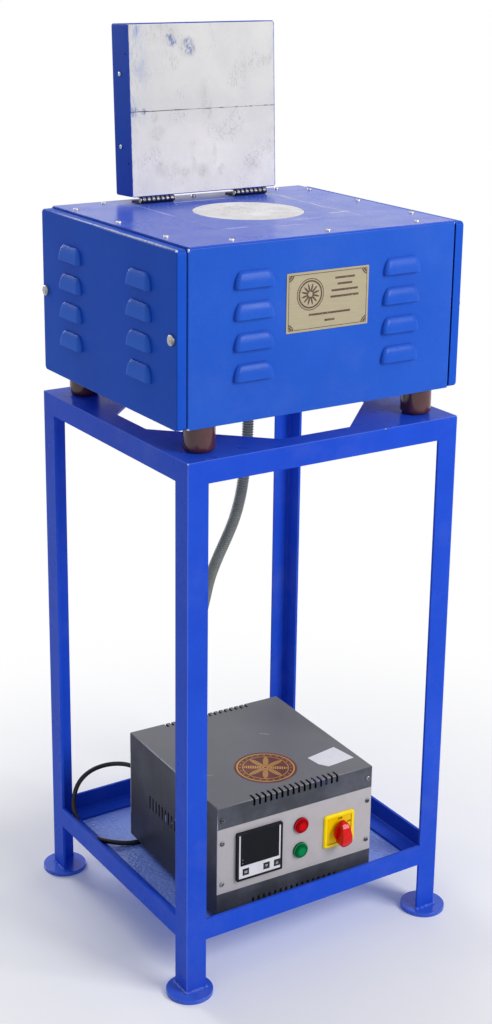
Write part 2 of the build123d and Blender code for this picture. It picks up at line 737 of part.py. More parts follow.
# Heating element: one wire that goes up and down round the liner, its lower bends standing on the hearth.
BEND_REACH = ELEMENT_RADIUS * sin(pi / ELEMENT_RUNS)
ELEMENT_LOW = HEARTH_TOP + ELEMENT_WIRE_R + BEND_REACH
ELEMENT_HIGH = PLUG_Z - ELEMENT_HEADROOM - ELEMENT_WIRE_R - BEND_REACH
with BuildPart() as heating_element:
    with BuildLine() as element_path:
        for run in range(ELEMENT_RUNS):
            start, end = (ELEMENT_LOW, ELEMENT_HIGH) if run % 2 == 0 else (ELEMENT_HIGH, ELEMENT_LOW)
            Line(element_point(run, start), element_point(run, end))
            if run < ELEMENT_RUNS - 1:
                here, there = element_point(run, end), element_point(run + 1, end)
                bend = Vector(0, 0, BEND_REACH if end > start else -BEND_REACH)
                ThreePointArc(here, (here + there) * 0.5 + bend, there)
    with BuildSketch(Plane(origin=element_path.line @ 0, z_dir=element_path.line % 0)):
        Circle(ELEMENT_WIRE_R)
    sweep(path=element_path.line)
heating_element.part.label = "heating_element"
export_step(heating_element.part, "parts/heating_element.step")

with BuildPart() as crucible:
    with BuildSketch(Plane(origin=(MOUTH_X, MOUTH_Y, CRUCIBLE_Z), x_dir=(1, 0, 0), z_dir=(0, -1, 0))):
        with BuildLine():
            Polyline(
                (0, 0),
                (CRUCIBLE_BASE_R, 0),
                (CRUCIBLE_TOP_R, CRUCIBLE_H),
                (CRUCIBLE_TOP_R - CRUCIBLE_WALL, CRUCIBLE_H),
                (CRUCIBLE_BASE_R - CRUCIBLE_WALL, CRUCIBLE_WALL),
                (0, CRUCIBLE_WALL),
                close=True,
            )
        make_face()
    revolve(axis=Axis((MOUTH_X, MOUTH_Y, 0), (0, 0, 1)))
crucible.part.label = "crucible"
export_step(crucible.part, "parts/crucible.step")

# Loose fibre plug in the mouth, resting on the liner's rim and flush with the top plate.
with BuildPart() as mouth_plug:
    with BuildSketch(Plane.XY.offset(PLUG_Z)):
        with Locations(MOUTH):
            Circle(MOUTH_R - PLUG_CLEARANCE)
    extrude(amount=PLUG_T)
    fillet(mouth_plug.edges().sort_by(Axis.Z)[-1], PLUG_EDGE_R)
mouth_plug.part.label = "mouth_plug"
export_step(mouth_plug.part, "parts/mouth_plug.step")

# Thermocouple: a head on the rear wall and a sheath through the insulation into the chamber.
with BuildPart() as thermocouple:
    with BuildSketch(PROBE_LINE):
        Circle(PROBE_R)
    extrude(amount=REAR - SHEET - MOUTH_Y - PROBE_TIP_R)
    with BuildSketch(PROBE_LINE):
        Circle(PROBE_HEAD_R)
    extrude(amount=PROBE_HEAD_L)
thermocouple.part.label = "thermocouple"
export_step(thermocouple.part, "parts/thermocouple.step")

with BuildPart() as terminal_block:
    block(
        (TERMINAL_X, TERMINAL_X + TERMINAL_W),
        (REAR - SHEET - TERMINAL_D, REAR - SHEET),
        (FURNACE_Z + TERMINAL_RISE, FURNACE_Z + TERMINAL_RISE + TERMINAL_H),
    )
    terminal_middle = (
        TERMINAL_X + TERMINAL_W / 2, REAR - SHEET - TERMINAL_D, FURNACE_Z + TERMINAL_RISE + TERMINAL_H / 2
    )
    with Locations(Plane(origin=terminal_middle, z_dir=(0, -1, 0))):
        with GridLocations(TERMINAL_W / 4, TERMINAL_H / 2, 4, 2):
            Hole(SCREW_R, depth=TERMINAL_D / 2)
terminal_block.part.label = "terminal_block"
export_step(terminal_block.part, "parts/terminal_block.step")

# ------------------------------------------------------------------ lid, modelled shut and stored open
# Along the frame's -y the lid runs forward when it is shut, and its z is up when it is shut.
LID = Plane(
    origin=(0, HINGE_Y, HINGE_Z),
    x_dir=(1, 0, 0),
    z_dir=(0, sin(radians(LID_OPEN)), cos(radians(LID_OPEN))),
)
LID_LOW = FURNACE_TOP + LID_GAP + BOARD_PROUD - HINGE_Z
LID_BACK = -(HINGE_KNUCKLE_R + HINGE_LIFT)
LID_FRONT = LID_BACK - LID_L
LID_HIGH = LID_LOW + LID_T - BOARD_PROUD
LID_LEFT = LID_X - LID_W / 2
LID_RIGHT = LID_X + LID_W / 2

with BuildPart(LID) as lid_shell:
    block((LID_LEFT, LID_RIGHT), (LID_FRONT, LID_BACK), (LID_LOW, LID_HIGH))
    walls = lid_shell.edges().filter_by(lambda edge: abs(edge.tangent_at(0).dot(LID.z_dir)) > 0.99)
    fillet(walls, LID_CORNER_R)
    fillet(lid_shell.faces().sort_by(Axis(LID.origin, LID.z_dir))[-1].edges(), BEND_R)
    block(
        (LID_LEFT + LID_SHEET, LID_RIGHT - LID_SHEET),
        (LID_FRONT + LID_SHEET, LID_BACK - LID_SHEET),
        (LID_LOW, LID_HIGH - LID_SHEET),
        mode=Mode.SUBTRACT,
    )
    for spot, back in LID_SCREW_SPOTS:
        for side in (LID_LEFT, LID_RIGHT):
            with Locations((side, LID_BACK - spot, LID_LOW + back)):
                Cylinder(SCREW_R + SCREW_CLEARANCE, 4 * LID_SHEET, rotation=(0, 90, 0), mode=Mode.SUBTRACT)
lid_shell.part.label = "lid_shell"
export_step(lid_shell.part, "parts/lid_shell.step")

# Two insulation boards side by side, the seam across the lid's face.
with BuildPart(LID) as lid_boards:
    seam = LID_BACK - BOARD_SEAM
    for span in (
        (LID_FRONT + LID_SHEET, seam - BOARD_SEAM_GAP / 2),
        (seam + BOARD_SEAM_GAP / 2, LID_BACK - LID_SHEET),
    ):
        block(
            (LID_LEFT + LID_SHEET, LID_RIGHT - LID_SHEET),
            span,
            (LID_LOW - BOARD_PROUD, LID_HIGH - LID_SHEET),
        )
    for spot, back in LID_SCREW_SPOTS:
        for side in (LID_LEFT, LID_RIGHT):
            with Locations((side, LID_BACK - spot, LID_LOW + back)):
                Cylinder(SCREW_R + SCREW_CLEARANCE, 2 * SCREW_L, rotation=(0, 90, 0), mode=Mode.SUBTRACT)
lid_boards.part.label = "lid_boards"
export_step(lid_boards.part, "parts/lid_boards.step")

with BuildPart() as lid_screws:
    for spot, back in LID_SCREW_SPOTS:
        for side, outward in ((LID_LEFT, -1), (LID_RIGHT, 1)):
            seat = LID.from_local_coords(Vector(side, LID_BACK - spot, LID_LOW + back))
            with Locations(Plane(origin=seat, z_dir=(outward, 0, 0))):
                screw(LID_SCREW_R, LID_SCREW_H, SCREW_R, SCREW_L)
    heads = lid_screws.faces().filter_by(Axis.X).sort_by(Axis.X)
    fillet([*heads[:2].edges(), *heads[-2:].edges()], LID_SCREW_H / 2)
lid_screws.part.label = "lid_screws"
export_step(lid_screws.part, "parts/lid_screws.step")

# Bow handle on the lid's outer face, near its front edge.
HANDLE_SPAN = HANDLE_L / 2
with BuildPart(LID) as lid_handle:
    grip_y = LID_FRONT + HANDLE_FROM_EDGE
    with BuildLine(LID) as bow:
        FilletPolyline(
            (LID_X - HANDLE_SPAN, grip_y, LID_HIGH),
            (LID_X - HANDLE_SPAN, grip_y, LID_HIGH + HANDLE_REACH - HANDLE_R),
            (LID_X + HANDLE_SPAN, grip_y, LID_HIGH + HANDLE_REACH - HANDLE_R),
            (LID_X + HANDLE_SPAN, grip_y, LID_HIGH),
            radius=HANDLE_BEND_R,
        )
    with BuildSketch(Plane(origin=bow.line @ 0, z_dir=bow.line % 0)):
        Circle(HANDLE_R)
    sweep(path=bow.line)
lid_handle.part.label = "lid_handle"
export_step(lid_handle.part, "parts/lid_handle.step")

# ------------------------------------------------------------------ hinges
KNUCKLE_PITCH = HINGE_L / HINGE_KNUCKLES


def knuckle_spans(first, centre):
    """Spans along the pin of every second knuckle of a hinge, from the given one on."""
    starts = [centre - HINGE_L / 2 + n * KNUCKLE_PITCH for n in range(first, HINGE_KNUCKLES, 2)]
    half_gap = HINGE_KNUCKLE_GAP / 2
    return [(start + half_gap, start + KNUCKLE_PITCH - half_gap) for start in starts]


def hinge_leaves(plane, leaf_low, upright, first):
    """Leaves of both hinges, lying or upright: a flat plate with every second knuckle, bored for the pin."""
    with BuildPart(plane) as leaves:
        for offset in HINGE_CENTRES:
            centre = LID_X + offset
            for span in knuckle_spans(first, centre):
                with Locations(((span[0] + span[1]) / 2, 0, 0)):
                    Cylinder(HINGE_KNUCKLE_R, span[1] - span[0], rotation=(0, 90, 0))
                if upright:
                    block(span, (leaf_low, leaf_low + HINGE_LEAF_T), (0, HINGE_LEAF_W))
                else:
                    block(span, (0, HINGE_LEAF_W), (leaf_low, leaf_low + HINGE_LEAF_T))
            whole = (centre - HINGE_L / 2, centre + HINGE_L / 2)
            clear = HINGE_KNUCKLE_R + HINGE_KNUCKLE_GAP
            if upright:
                block(whole, (leaf_low, leaf_low + HINGE_LEAF_T), (clear, HINGE_LEAF_W))
            else:
                block(whole, (clear, HINGE_LEAF_W), (leaf_low, leaf_low + HINGE_LEAF_T))
            with Locations((centre, 0, 0)):
                Cylinder(HINGE_PIN_R + HINGE_FIT, 2 * HINGE_L, rotation=(0, 90, 0), mode=Mode.SUBTRACT)
    return leaves.part


# The plate leaves lie flat on the top plate behind the pin, and the lid leaves stand on the lid's rear wall.
HINGE_LINE = Plane(origin=(0, HINGE_Y, HINGE_Z))
hinge_plate_leaves = hinge_leaves(HINGE_LINE, FURNACE_TOP - HINGE_Z, upright=False, first=0)
hinge_plate_leaves.label = "hinge_plate_leaves"
export_step(hinge_plate_leaves, "parts/hinge_plate_leaves.step")

hinge_lid_leaves = hinge_leaves(LID, LID_BACK, upright=True, first=1)
hinge_lid_leaves.label = "hinge_lid_leaves"
export_step(hinge_lid_leaves, "parts/hinge_lid_leaves.step")

with BuildPart(HINGE_LINE) as hinge_pins:
    for offset in HINGE_CENTRES:
        with Locations((LID_X + offset, 0, 0)):
            Cylinder(HINGE_PIN_R, HINGE_L, rotation=(0, 90, 0))
        for side in (-1, 1):
            with Locations((LID_X + offset + side * (HINGE_L + HINGE_HEAD_T) / 2, 0, 0)):
                Cylinder(HINGE_HEAD_R, HINGE_HEAD_T, rotation=(0, 90, 0))
hinge_pins.part.label = "hinge_pins"
export_step(hinge_pins.part, "parts/hinge_pins.step")

# ------------------------------------------------------------------ control box
FASCIA_SPAN = (FASCIA_LOW, FASCIA_HIGH)
SLOT_PITCH = (SLOT_LAST - SLOT_FIRST) / (SLOT_COUNT - 1)
SLOTS = [SLOT_FIRST + n * SLOT_PITCH for n in range(SLOT_COUNT)]
VENTS = [VENT_FIRST - n * VENT_PITCH for n in range(VENT_COUNT)]

with BuildPart(BOX) as control_cover:
    block((0, BOX_W), (0, BOX_D), (0, BOX_H))
    top_edges = control_cover.faces().sort_by(Axis.Z)[-1].edges()
    fillet(top_edges, BOX_EDGE_R)
    inside = ((BOX_SHEET, BOX_W - BOX_SHEET), (BOX_SHEET, BOX_D - BOX_SHEET), (0, BOX_H - BOX_SHEET))
    block(*inside, mode=Mode.SUBTRACT)
    for span in ((0, FASCIA_T), (BOX_D - FASCIA_T, BOX_D)):
        block((0, BOX_W), span, (0, FASCIA_HIGH), mode=Mode.SUBTRACT)
    for y in ((FASCIA_T, FASCIA_T + BOX_SHEET), (BOX_D - FASCIA_T - BOX_SHEET, BOX_D - FASCIA_T)):
        for x in ((BOX_SHEET, BOX_FLANGE), (BOX_W - BOX_FLANGE, BOX_W - BOX_SHEET)):
            block(x, y, FASCIA_SPAN)
    for x in SLOTS:
        slot = (x - SLOT_W / 2, x + SLOT_W / 2)
        for y in ((0, SLOT_REACH), (BOX_D - SLOT_REACH, BOX_D)):
            block(slot, y, (BOX_H - SLOT_DROP, BOX_H), mode=Mode.SUBTRACT)
    for y in VENTS:
        block((0, BOX_W), (y - VENT_W / 2, y + VENT_W / 2), (VENT_LOW, VENT_HIGH), mode=Mode.SUBTRACT)
    for x, z in FASCIA_SCREWS + LIP_SCREWS:
        for y in (0, BOX_D):
            with Locations((x, y, z)):
                Cylinder(SCREW_R + SCREW_CLEARANCE, 2 * SCREW_L, rotation=(90, 0, 0), mode=Mode.SUBTRACT)
control_cover.part.label = "control_cover"
export_step(control_cover.part, "parts/control_cover.step")

with BuildPart(BOX) as control_base:
    block((0, BOX_W), (0, BOX_D), (0, FASCIA_LOW - FASCIA_GAP))
    ends = control_base.faces().sort_by(Axis.Z)[0].edges().filter_by(
        lambda edge: abs(edge.tangent_at(0).dot(BOX.x_dir)) > 0.99
    )
    fillet(ends, BOX_EDGE_R)
    block((0, BOX_W), (BOX_SHEET, BOX_D - BOX_SHEET), (BOX_SHEET, FASCIA_LOW), mode=Mode.SUBTRACT)
    for x in ((0, BOX_SHEET), (BOX_W - BOX_SHEET, BOX_W)):
        block(x, (FASCIA_T, BOX_D - FASCIA_T), (0, FASCIA_LOW), mode=Mode.SUBTRACT)
    for x in ((BOX_SHEET, 2 * BOX_SHEET), (BOX_W - 2 * BOX_SHEET, BOX_W - BOX_SHEET)):
        block(x, (FASCIA_T, BOX_D - FASCIA_T), (0, BOX_RIM))
    for x in SLOTS:
        slot = (x - SLOT_W / 2, x + SLOT_W / 2)
        for y in ((0, SLOT_REACH), (BOX_D - SLOT_REACH, BOX_D)):
            block(slot, y, (0, SLOT_RISE), mode=Mode.SUBTRACT)
control_base.part.label = "control_base"
export_step(control_base.part, "parts/control_base.step")

with BuildPart(BOX) as control_fascia:
    block((0, BOX_W), (0, FASCIA_T), (FASCIA_LOW, FASCIA_HIGH - FASCIA_GAP))
    with Locations((METER_X, 0, METER_Z)):
        Box(METER_CUTOUT, 4 * FASCIA_T, METER_CUTOUT, mode=Mode.SUBTRACT)
    bores = [(x, z, LAMP_BARREL_R) for x, z in LAMP_SPOTS.values()] + [(SWITCH_X, SWITCH_Z, SHAFT_R)]
    bores += [(x, z, SCREW_R) for x, z in FASCIA_SCREWS]
    for x, z, radius in bores:
        with Locations((x, 0, z)):
            Cylinder(radius + SCREW_CLEARANCE, 4 * FASCIA_T, rotation=(90, 0, 0), mode=Mode.SUBTRACT)
control_fascia.part.label = "control_fascia"
export_step(control_fascia.part, "parts/control_fascia.step")

with BuildPart(BOX) as control_rear_panel:
    block((0, BOX_W), (BOX_D - FASCIA_T, BOX_D), (FASCIA_LOW, FASCIA_HIGH - FASCIA_GAP))
    bores = [(CONDUIT_BOX_X, CONDUIT_BOX_Z, CONDUIT_BORE_R), (CORD_BOX_X, CORD_BOX_Z, RELIEF_BARREL_R)]
    bores += [(x, z, SCREW_R) for x, z in FASCIA_SCREWS]
    for x, z, radius in bores:
        with Locations((x, BOX_D, z)):
            Cylinder(radius + SCREW_CLEARANCE, 4 * FASCIA_T, rotation=(90, 0, 0), mode=Mode.SUBTRACT)
control_rear_panel.part.label = "control_rear_panel"
export_step(control_rear_panel.part, "parts/control_rear_panel.step")

with BuildPart(BOX) as control_feet:
    with Locations((BOX_W / 2, BOX_D / 2)):
        with GridLocations(BOX_W - 2 * BOX_FOOT_INSET, BOX_D - 2 * BOX_FOOT_INSET, 2, 2):
            Cylinder(BOX_FOOT_R, BOX_FOOT_H, align=(Align.CENTER, Align.CENTER, Align.MAX))
    fillet(control_feet.edges().group_by(Axis.Z)[0], BOX_FOOT_EDGE_R)
control_feet.part.label = "control_feet"
export_step(control_feet.part, "parts/control_feet.step")

with BuildPart() as control_screws:
    for x, z in FASCIA_SCREWS + LIP_SCREWS:
        for y, outward in ((0, -1), (BOX_D, 1)):
            with Locations(box_face(x, z, y, outward)):
                screw(BOX_SCREW_R, BOX_SCREW_H, SCREW_R, SCREW_L)
control_screws.part.label = "control_screws"
export_step(control_screws.part, "parts/control_screws.step")

# Temperature controller: bezel and body in one moulding, with a pocket for each key.
METER_FACE = box_face(METER_X, METER_Z)
with BuildPart(METER_FACE) as meter_case:
    with BuildSketch(METER_FACE):
        RectangleRounded(METER, METER, METER_EDGE_R)
    extrude(amount=METER_PROUD)
    with BuildSketch(METER_FACE.offset(METER_PROUD)):
        RectangleRounded(METER - 2 * METER_FRAME, METER - 2 * METER_FRAME, METER_FRAME_R)
    extrude(amount=-METER_RECESS, mode=Mode.SUBTRACT)
    with BuildSketch(METER_FACE):
        Rectangle(METER_BODY, METER_BODY)
    extrude(amount=-METER_DEPTH)
    with BuildSketch(METER_FACE.offset(METER_PROUD - METER_RECESS)):
        for x, z in KEY_SPOTS.values():
            with Locations((x - METER_X, z - METER_Z)):
                Rectangle(KEY + 2 * KEY_CLEARANCE, KEY + 2 * KEY_CLEARANCE)
    extrude(amount=-(KEY_T + KEY_TRAVEL + KEY_CLEARANCE), mode=Mode.SUBTRACT)
meter_case.part.label = "meter_case"
export_step(meter_case.part, "parts/meter_case.step")

METER_PANEL = METER_FACE.offset(METER_PROUD - METER_RECESS)
with BuildPart() as meter_window:
    with BuildSketch(METER_PANEL):
        with Locations((0, WINDOW_RISE)):
            Rectangle(WINDOW_W, WINDOW_H)
    extrude(amount=WINDOW_T)
meter_window.part.label = "meter_window"
export_step(meter_window.part, "parts/meter_window.step")

for name, (x, z) in KEY_SPOTS.items():
    with BuildPart() as key:
        with BuildSketch(METER_PANEL.offset(KEY_PROUD - KEY_T)):
            with Locations((x - METER_X, z - METER_Z)):
                RectangleRounded(KEY, KEY, KEY_CORNER_R)
        extrude(amount=KEY_T)
    key.part.label = name
    export_step(key.part, f"parts/{name}.step")

# Pilot lamps: a bezel with its barrel behind the fascia, and a flat lens with a raised middle.
with BuildPart() as lamp_bezels:
    for x, z in LAMP_SPOTS.values():
        with BuildSketch(box_face(x, z)):
            Circle(LAMP_BEZEL_R)
        extrude(amount=LAMP_BEZEL_T)
        with BuildSketch(box_face(x, z)):
            Circle(LAMP_BARREL_R)
        extrude(amount=-LAMP_BARREL_L)
lamp_bezels.part.label = "lamp_bezels"
export_step(lamp_bezels.part, "parts/lamp_bezels.step")

for name, (x, z) in LAMP_SPOTS.items():
    with BuildPart() as lens:
        with BuildSketch(box_face(x, z).offset(LAMP_BEZEL_T)):
            Circle(LAMP_LENS_R)
        extrude(amount=LAMP_LENS_T)
        fillet(lens.faces().sort_by(Axis.Y)[0].edges(), LAMP_LENS_EDGE_R)
        with BuildSketch(box_face(x, z).offset(LAMP_BEZEL_T + LAMP_LENS_T)):
            Circle(LAMP_CAP_R)
        extrude(amount=LAMP_CAP_T)
    lens.part.label = name
    export_step(lens.part, f"parts/{name}.step")

# Cam switch: plate, body with its shaft, and the turning knob.
SWITCH_FACE = box_face(SWITCH_X, SWITCH_Z)
with BuildPart() as switch_plate:
    with BuildSketch(SWITCH_FACE):
        RectangleRounded(SWITCH_PLATE, SWITCH_PLATE, SWITCH_PLATE_R)
    extrude(amount=SWITCH_PLATE_T)
    rim = switch_plate.faces().sort_by(Axis(SWITCH_FACE.origin, SWITCH_FACE.z_dir))[-1]
    chamfer(rim.edges(), SWITCH_PLATE_EDGE)
    with BuildSketch(SWITCH_FACE.offset(SWITCH_PLATE_T)):
        RectangleRounded(SWITCH_FIELD, SWITCH_FIELD, SWITCH_FIELD_R)
    extrude(amount=-SWITCH_FIELD_DEPTH, mode=Mode.SUBTRACT)
    with BuildSketch(SWITCH_FACE):
        Circle(SHAFT_R + SCREW_CLEARANCE)
    extrude(amount=SWITCH_PLATE_T, mode=Mode.SUBTRACT)
switch_plate.part.label = "switch_plate"
export_step(switch_plate.part, "parts/switch_plate.step")

with BuildPart() as switch_body:
    with BuildSketch(SWITCH_FACE.offset(-FASCIA_T)):
        RectangleRounded(SWITCH_BODY, SWITCH_BODY, SWITCH_BODY_R)
    extrude(amount=-SWITCH_BODY_L)
    with BuildSketch(SWITCH_FACE.offset(-FASCIA_T)):
        Circle(SHAFT_R)
    extrude(amount=FASCIA_T + SHAFT_L)
switch_body.part.label = "switch_body"
export_step(switch_body.part, "parts/switch_body.step")

KNOB_FACE = SWITCH_FACE.offset(SWITCH_PLATE_T + KNOB_GAP)
KNOB_SIDE = Plane(origin=KNOB_FACE.origin, x_dir=KNOB_FACE.y_dir, z_dir=KNOB_FACE.x_dir)
KNOB_NOSE = KNOB_GRIP_RISE + KNOB_GRIP_L / 2
KNOB_HEEL = KNOB_GRIP_RISE - KNOB_GRIP_L / 2
with BuildPart() as switch_knob:
    with BuildSketch(KNOB_FACE.offset(KNOB_FLARE_T)):
        with Locations((0, KNOB_NOSE - KNOB_GRIP_NOSE_R)):
            Circle(KNOB_GRIP_NOSE_R)
        with Locations((0, KNOB_HEEL + KNOB_GRIP_HEEL_R)):
            Circle(KNOB_GRIP_HEEL_R)
        make_hull()
    extrude(amount=KNOB_GRIP_T)
    with BuildSketch(KNOB_SIDE):
        with BuildLine():
            ThreePointArc(
                (KNOB_HEEL, KNOB_GRIP_HEEL_T), (KNOB_GRIP_RISE, KNOB_GRIP_T), (KNOB_NOSE, KNOB_GRIP_NOSE_T)
            )
            Line((KNOB_NOSE, KNOB_GRIP_NOSE_T), (KNOB_NOSE, 0))
            Line((KNOB_NOSE, 0), (KNOB_HEEL, 0))
            Line((KNOB_HEEL, 0), (KNOB_HEEL, KNOB_GRIP_HEEL_T))
        make_face()
    extrude(amount=KNOB_GRIP_HEEL_R, both=True, mode=Mode.INTERSECT)
    crown = switch_knob.faces().sort_by(Axis(KNOB_FACE.origin, KNOB_FACE.z_dir))[-1]
    fillet(crown.edges(), KNOB_EDGE_R)
    with BuildSketch(KNOB_FACE):
        Circle(KNOB_ROOT_R)
    with BuildSketch(KNOB_FACE.offset(KNOB_FLARE_T)):
        Circle(KNOB_R)
    loft()
    with BuildSketch(KNOB_FACE.offset(KNOB_FLARE_T)):
        Circle(KNOB_R)
    extrude(amount=KNOB_BASE_T - KNOB_FLARE_T)
    with BuildSketch(KNOB_FACE):
        Circle(SHAFT_R + SHAFT_FIT)
    extrude(amount=SHAFT_L - SWITCH_PLATE_T + KNOB_GAP, mode=Mode.SUBTRACT)
switch_knob.part.label = "switch_knob"
export_step(switch_knob.part, "parts/switch_knob.step")

with BuildPart(BOX) as power_relay:
    block((RELAY_X, RELAY_X + RELAY_W), (RELAY_Y, RELAY_Y + RELAY_D), (BOX_SHEET, BOX_SHEET + RELAY_H))
    with Locations((RELAY_X + RELAY_W / 2, RELAY_Y + RELAY_D / 2, BOX_SHEET + RELAY_H)):
        with GridLocations(RELAY_W * 2 / 3, RELAY_D * 2 / 3, 2, 2):
            Hole(SCREW_R, depth=RELAY_H / 3)
power_relay.part.label = "power_relay"
export_step(power_relay.part, "parts/power_relay.step")


# ------------------------------------------------------------------ conduit and cord
def bend_radii(points):
    """Radius at each inner point of a route, as large as its two runs allow."""
    radii = []
    for before, corner, after in zip(points, points[1:], points[2:]):
        half_turn = radians((corner - before).get_angle(after - corner)) / 2
        radii.append(RUN_SHARE * min((corner - before).length, (after - corner).length) / tan(half_turn))
    return radii


def check_tube(name, part, section_area, length):
    """Print a tube's volume beside its section times its length."""
    print(f"{name}: length {length:.1f}, volume {part.volume:.0f}, expected {section_area * length:.0f}")


# Glands: a nut against the sheet and a sleeve that the conduit's end butts against.
CONDUIT_START = Vector(CONDUIT_X, CONDUIT_Y, FURNACE_Z - GLAND_NUT_T - GLAND_SLEEVE_L)
CONDUIT_GLAND = box_face(CONDUIT_BOX_X, CONDUIT_BOX_Z, BOX_D, 1)
BOX_GLAND_L = GLAND_NUT_T + GLAND_BOX_SLEEVE_L
CONDUIT_END = CONDUIT_GLAND.origin + BOX_BACK * BOX_GLAND_L
with BuildPart() as conduit_glands:
    with BuildSketch(Plane.XY.offset(FURNACE_Z)):
        with Locations((CONDUIT_X, CONDUIT_Y)):
            RegularPolygon(GLAND_NUT_R, 6)
            Circle(CONDUIT_BORE_R, mode=Mode.SUBTRACT)
    extrude(amount=-GLAND_NUT_T)
    with BuildSketch(Plane.XY.offset(FURNACE_Z - GLAND_NUT_T)):
        with Locations((CONDUIT_X, CONDUIT_Y)):
            Circle(GLAND_SLEEVE_R)
            Circle(CONDUIT_BORE_R, mode=Mode.SUBTRACT)
    extrude(amount=-GLAND_SLEEVE_L)
    with BuildSketch(CONDUIT_GLAND):
        RegularPolygon(GLAND_NUT_R, 6)
        Circle(CONDUIT_BORE_R, mode=Mode.SUBTRACT)
    extrude(amount=GLAND_NUT_T)
    with BuildSketch(CONDUIT_GLAND.offset(GLAND_NUT_T)):
        Circle(GLAND_SLEEVE_R)
        Circle(CONDUIT_BORE_R, mode=Mode.SUBTRACT)
    extrude(amount=GLAND_BOX_SLEEVE_L)
conduit_glands.part.label = "conduit_glands"
export_step(conduit_glands.part, "parts/conduit_glands.step")

# The conduit's route, chosen by eye: down from the furnace, back behind the box and into its rear.
CONDUIT_POINTS = [
    CONDUIT_START,
    Vector(CONDUIT_X, CONDUIT_Y, 965.0),
    Vector(30.0, 40.5, 905.0),
    Vector(26.0, 43.0, 850.0),
    Vector(23.0, 51.0, 798.0),
    Vector(17.5, 64.0, 749.0),
    Vector(8.5, 82.0, 702.0),
    Vector(2.5, 104.0, 656.0),
    Vector(3.5, 129.0, 611.0),
    Vector(11.5, 155.0, 567.0),
    Vector(20.0, 182.0, 522.0),
    Vector(28.5, 210.0, 476.0),
    Vector(34.0, 235.0, 429.0),
    Vector(36.0, 248.7, 377.8),
    Vector(34.5, 246.8, 323.8),
    Vector(30.5, 219.8, 277.0),
    CONDUIT_END + BOX_BACK * CONDUIT_STUB,
    CONDUIT_END,
]
conduit_radii = bend_radii(CONDUIT_POINTS)
print("conduit bend radii", [round(radius) for radius in conduit_radii])
with BuildLine() as conduit_route:
    FilletPolyline(*CONDUIT_POINTS, radius=conduit_radii)
conduit_line = conduit_route.wire()
CONDUIT_LENGTH = conduit_line.length


def conduit_plane(share):
    """Plane across the conduit at a share of its length, its x kept near the part's X."""
    tangent = conduit_line % share
    across = Vector(1, 0, 0) - tangent * tangent.X
    return Plane(origin=conduit_line @ share, x_dir=across, z_dir=tangent)


def conduit_tube(steps):
    """Ruled tube through the circles of the given (share of the length, radius) steps."""
    with BuildPart() as tube:
        for share, radius in steps:
            with BuildSketch(conduit_plane(share)):
                Circle(radius)
        loft(ruled=True)
    return tube.part


# Each rib is drawn by four circles, and the tube ends on the grooves' radius.
RIB_PROFILE = (
    (0.10, CONDUIT_GROOVE_R),
    (0.30, CONDUIT_R),
    (0.70, CONDUIT_R),
    (0.90, CONDUIT_GROOVE_R),
)
rib_steps = [
    ((n + offset) / CONDUIT_RIBS, radius) for n in range(CONDUIT_RIBS) for offset, radius in RIB_PROFILE
]
bore_steps = [(n / CONDUIT_RIBS, CONDUIT_BORE_R) for n in range(CONDUIT_RIBS + 1)]
conduit_outside = conduit_tube([(0.0, CONDUIT_GROOVE_R), *rib_steps, (1.0, CONDUIT_GROOVE_R)])
conduit_inside = conduit_tube(bore_steps)
conduit = conduit_outside - conduit_inside
conduit.label = "conduit"
export_step(conduit, "parts/conduit.step")
print(f"conduit: length {CONDUIT_LENGTH:.1f}, rib pitch {CONDUIT_LENGTH / CONDUIT_RIBS:.2f}")

# Mains cord: tapered strain relief in the box's rear panel.
RELIEF_FACE = box_face(CORD_BOX_X, CORD_BOX_Z, BOX_D, 1)
with BuildPart() as mains_gland:
    with BuildSketch(RELIEF_FACE):
        Circle(RELIEF_FLANGE_R)
    extrude(amount=RELIEF_FLANGE_T)
    with BuildSketch(RELIEF_FACE):
        Circle(RELIEF_BARREL_R)
    extrude(amount=-RELIEF_BARREL_L)
    with BuildSketch(RELIEF_FACE.offset(RELIEF_FLANGE_T)):
        Circle(RELIEF_ROOT_R)
    with BuildSketch(RELIEF_FACE.offset(RELIEF_L)):
        Circle(RELIEF_TIP_R)
    loft(ruled=True)
mains_gland.part.label = "mains_gland"
export_step(mains_gland.part, "parts/mains_gland.step")

# Coil of the cord's spare length: two layers, the lower one winding in and the upper one winding out.
CORD_FLOOR = TRAY_TOP + CORD_R + CORD_LIFT
COIL_TURNS = COIL_TURNS_IN + COIL_TURNS_OUT
COIL_CENTRE = Vector(COIL_X, COIL_Y, CORD_FLOOR)


def smooth_step(share):
    """Rise from 0 to 1 with level ends."""
    share = min(max(share, 0.0), 1.0)
    return share * share * (3 - 2 * share)


def coil_point(turns):
    """Point of the coil's centre line after this many turns."""
    inward = min(turns, 2 * COIL_TURNS_IN - turns)
    near_middle = max(0.0, 1 - abs(turns - COIL_TURNS_IN) / COIL_ROUNDING)
    depth = inward - COIL_ROUNDING / 2 * near_middle * near_middle
    radius = COIL_R - COIL_PITCH * depth
    angle = radians(COIL_START_ANGLE) + 2 * pi * turns
    climb = COIL_LAYER * smooth_step((turns - COIL_TURNS_IN) / COIL_CLIMB + 0.5)
    return COIL_CENTRE + Vector(radius * cos(angle), radius * sin(angle), climb)


def coil_direction(turns):
    """Direction of the coil's centre line after this many turns, level and square to the radius at its ends."""
    small = 0.002
    if turns in (0, COIL_TURNS):
        angle = radians(COIL_START_ANGLE) + 2 * pi * turns
        return Vector(-sin(angle), cos(angle), 0)
    return (coil_point(turns + small) - coil_point(turns - small)).normalized()


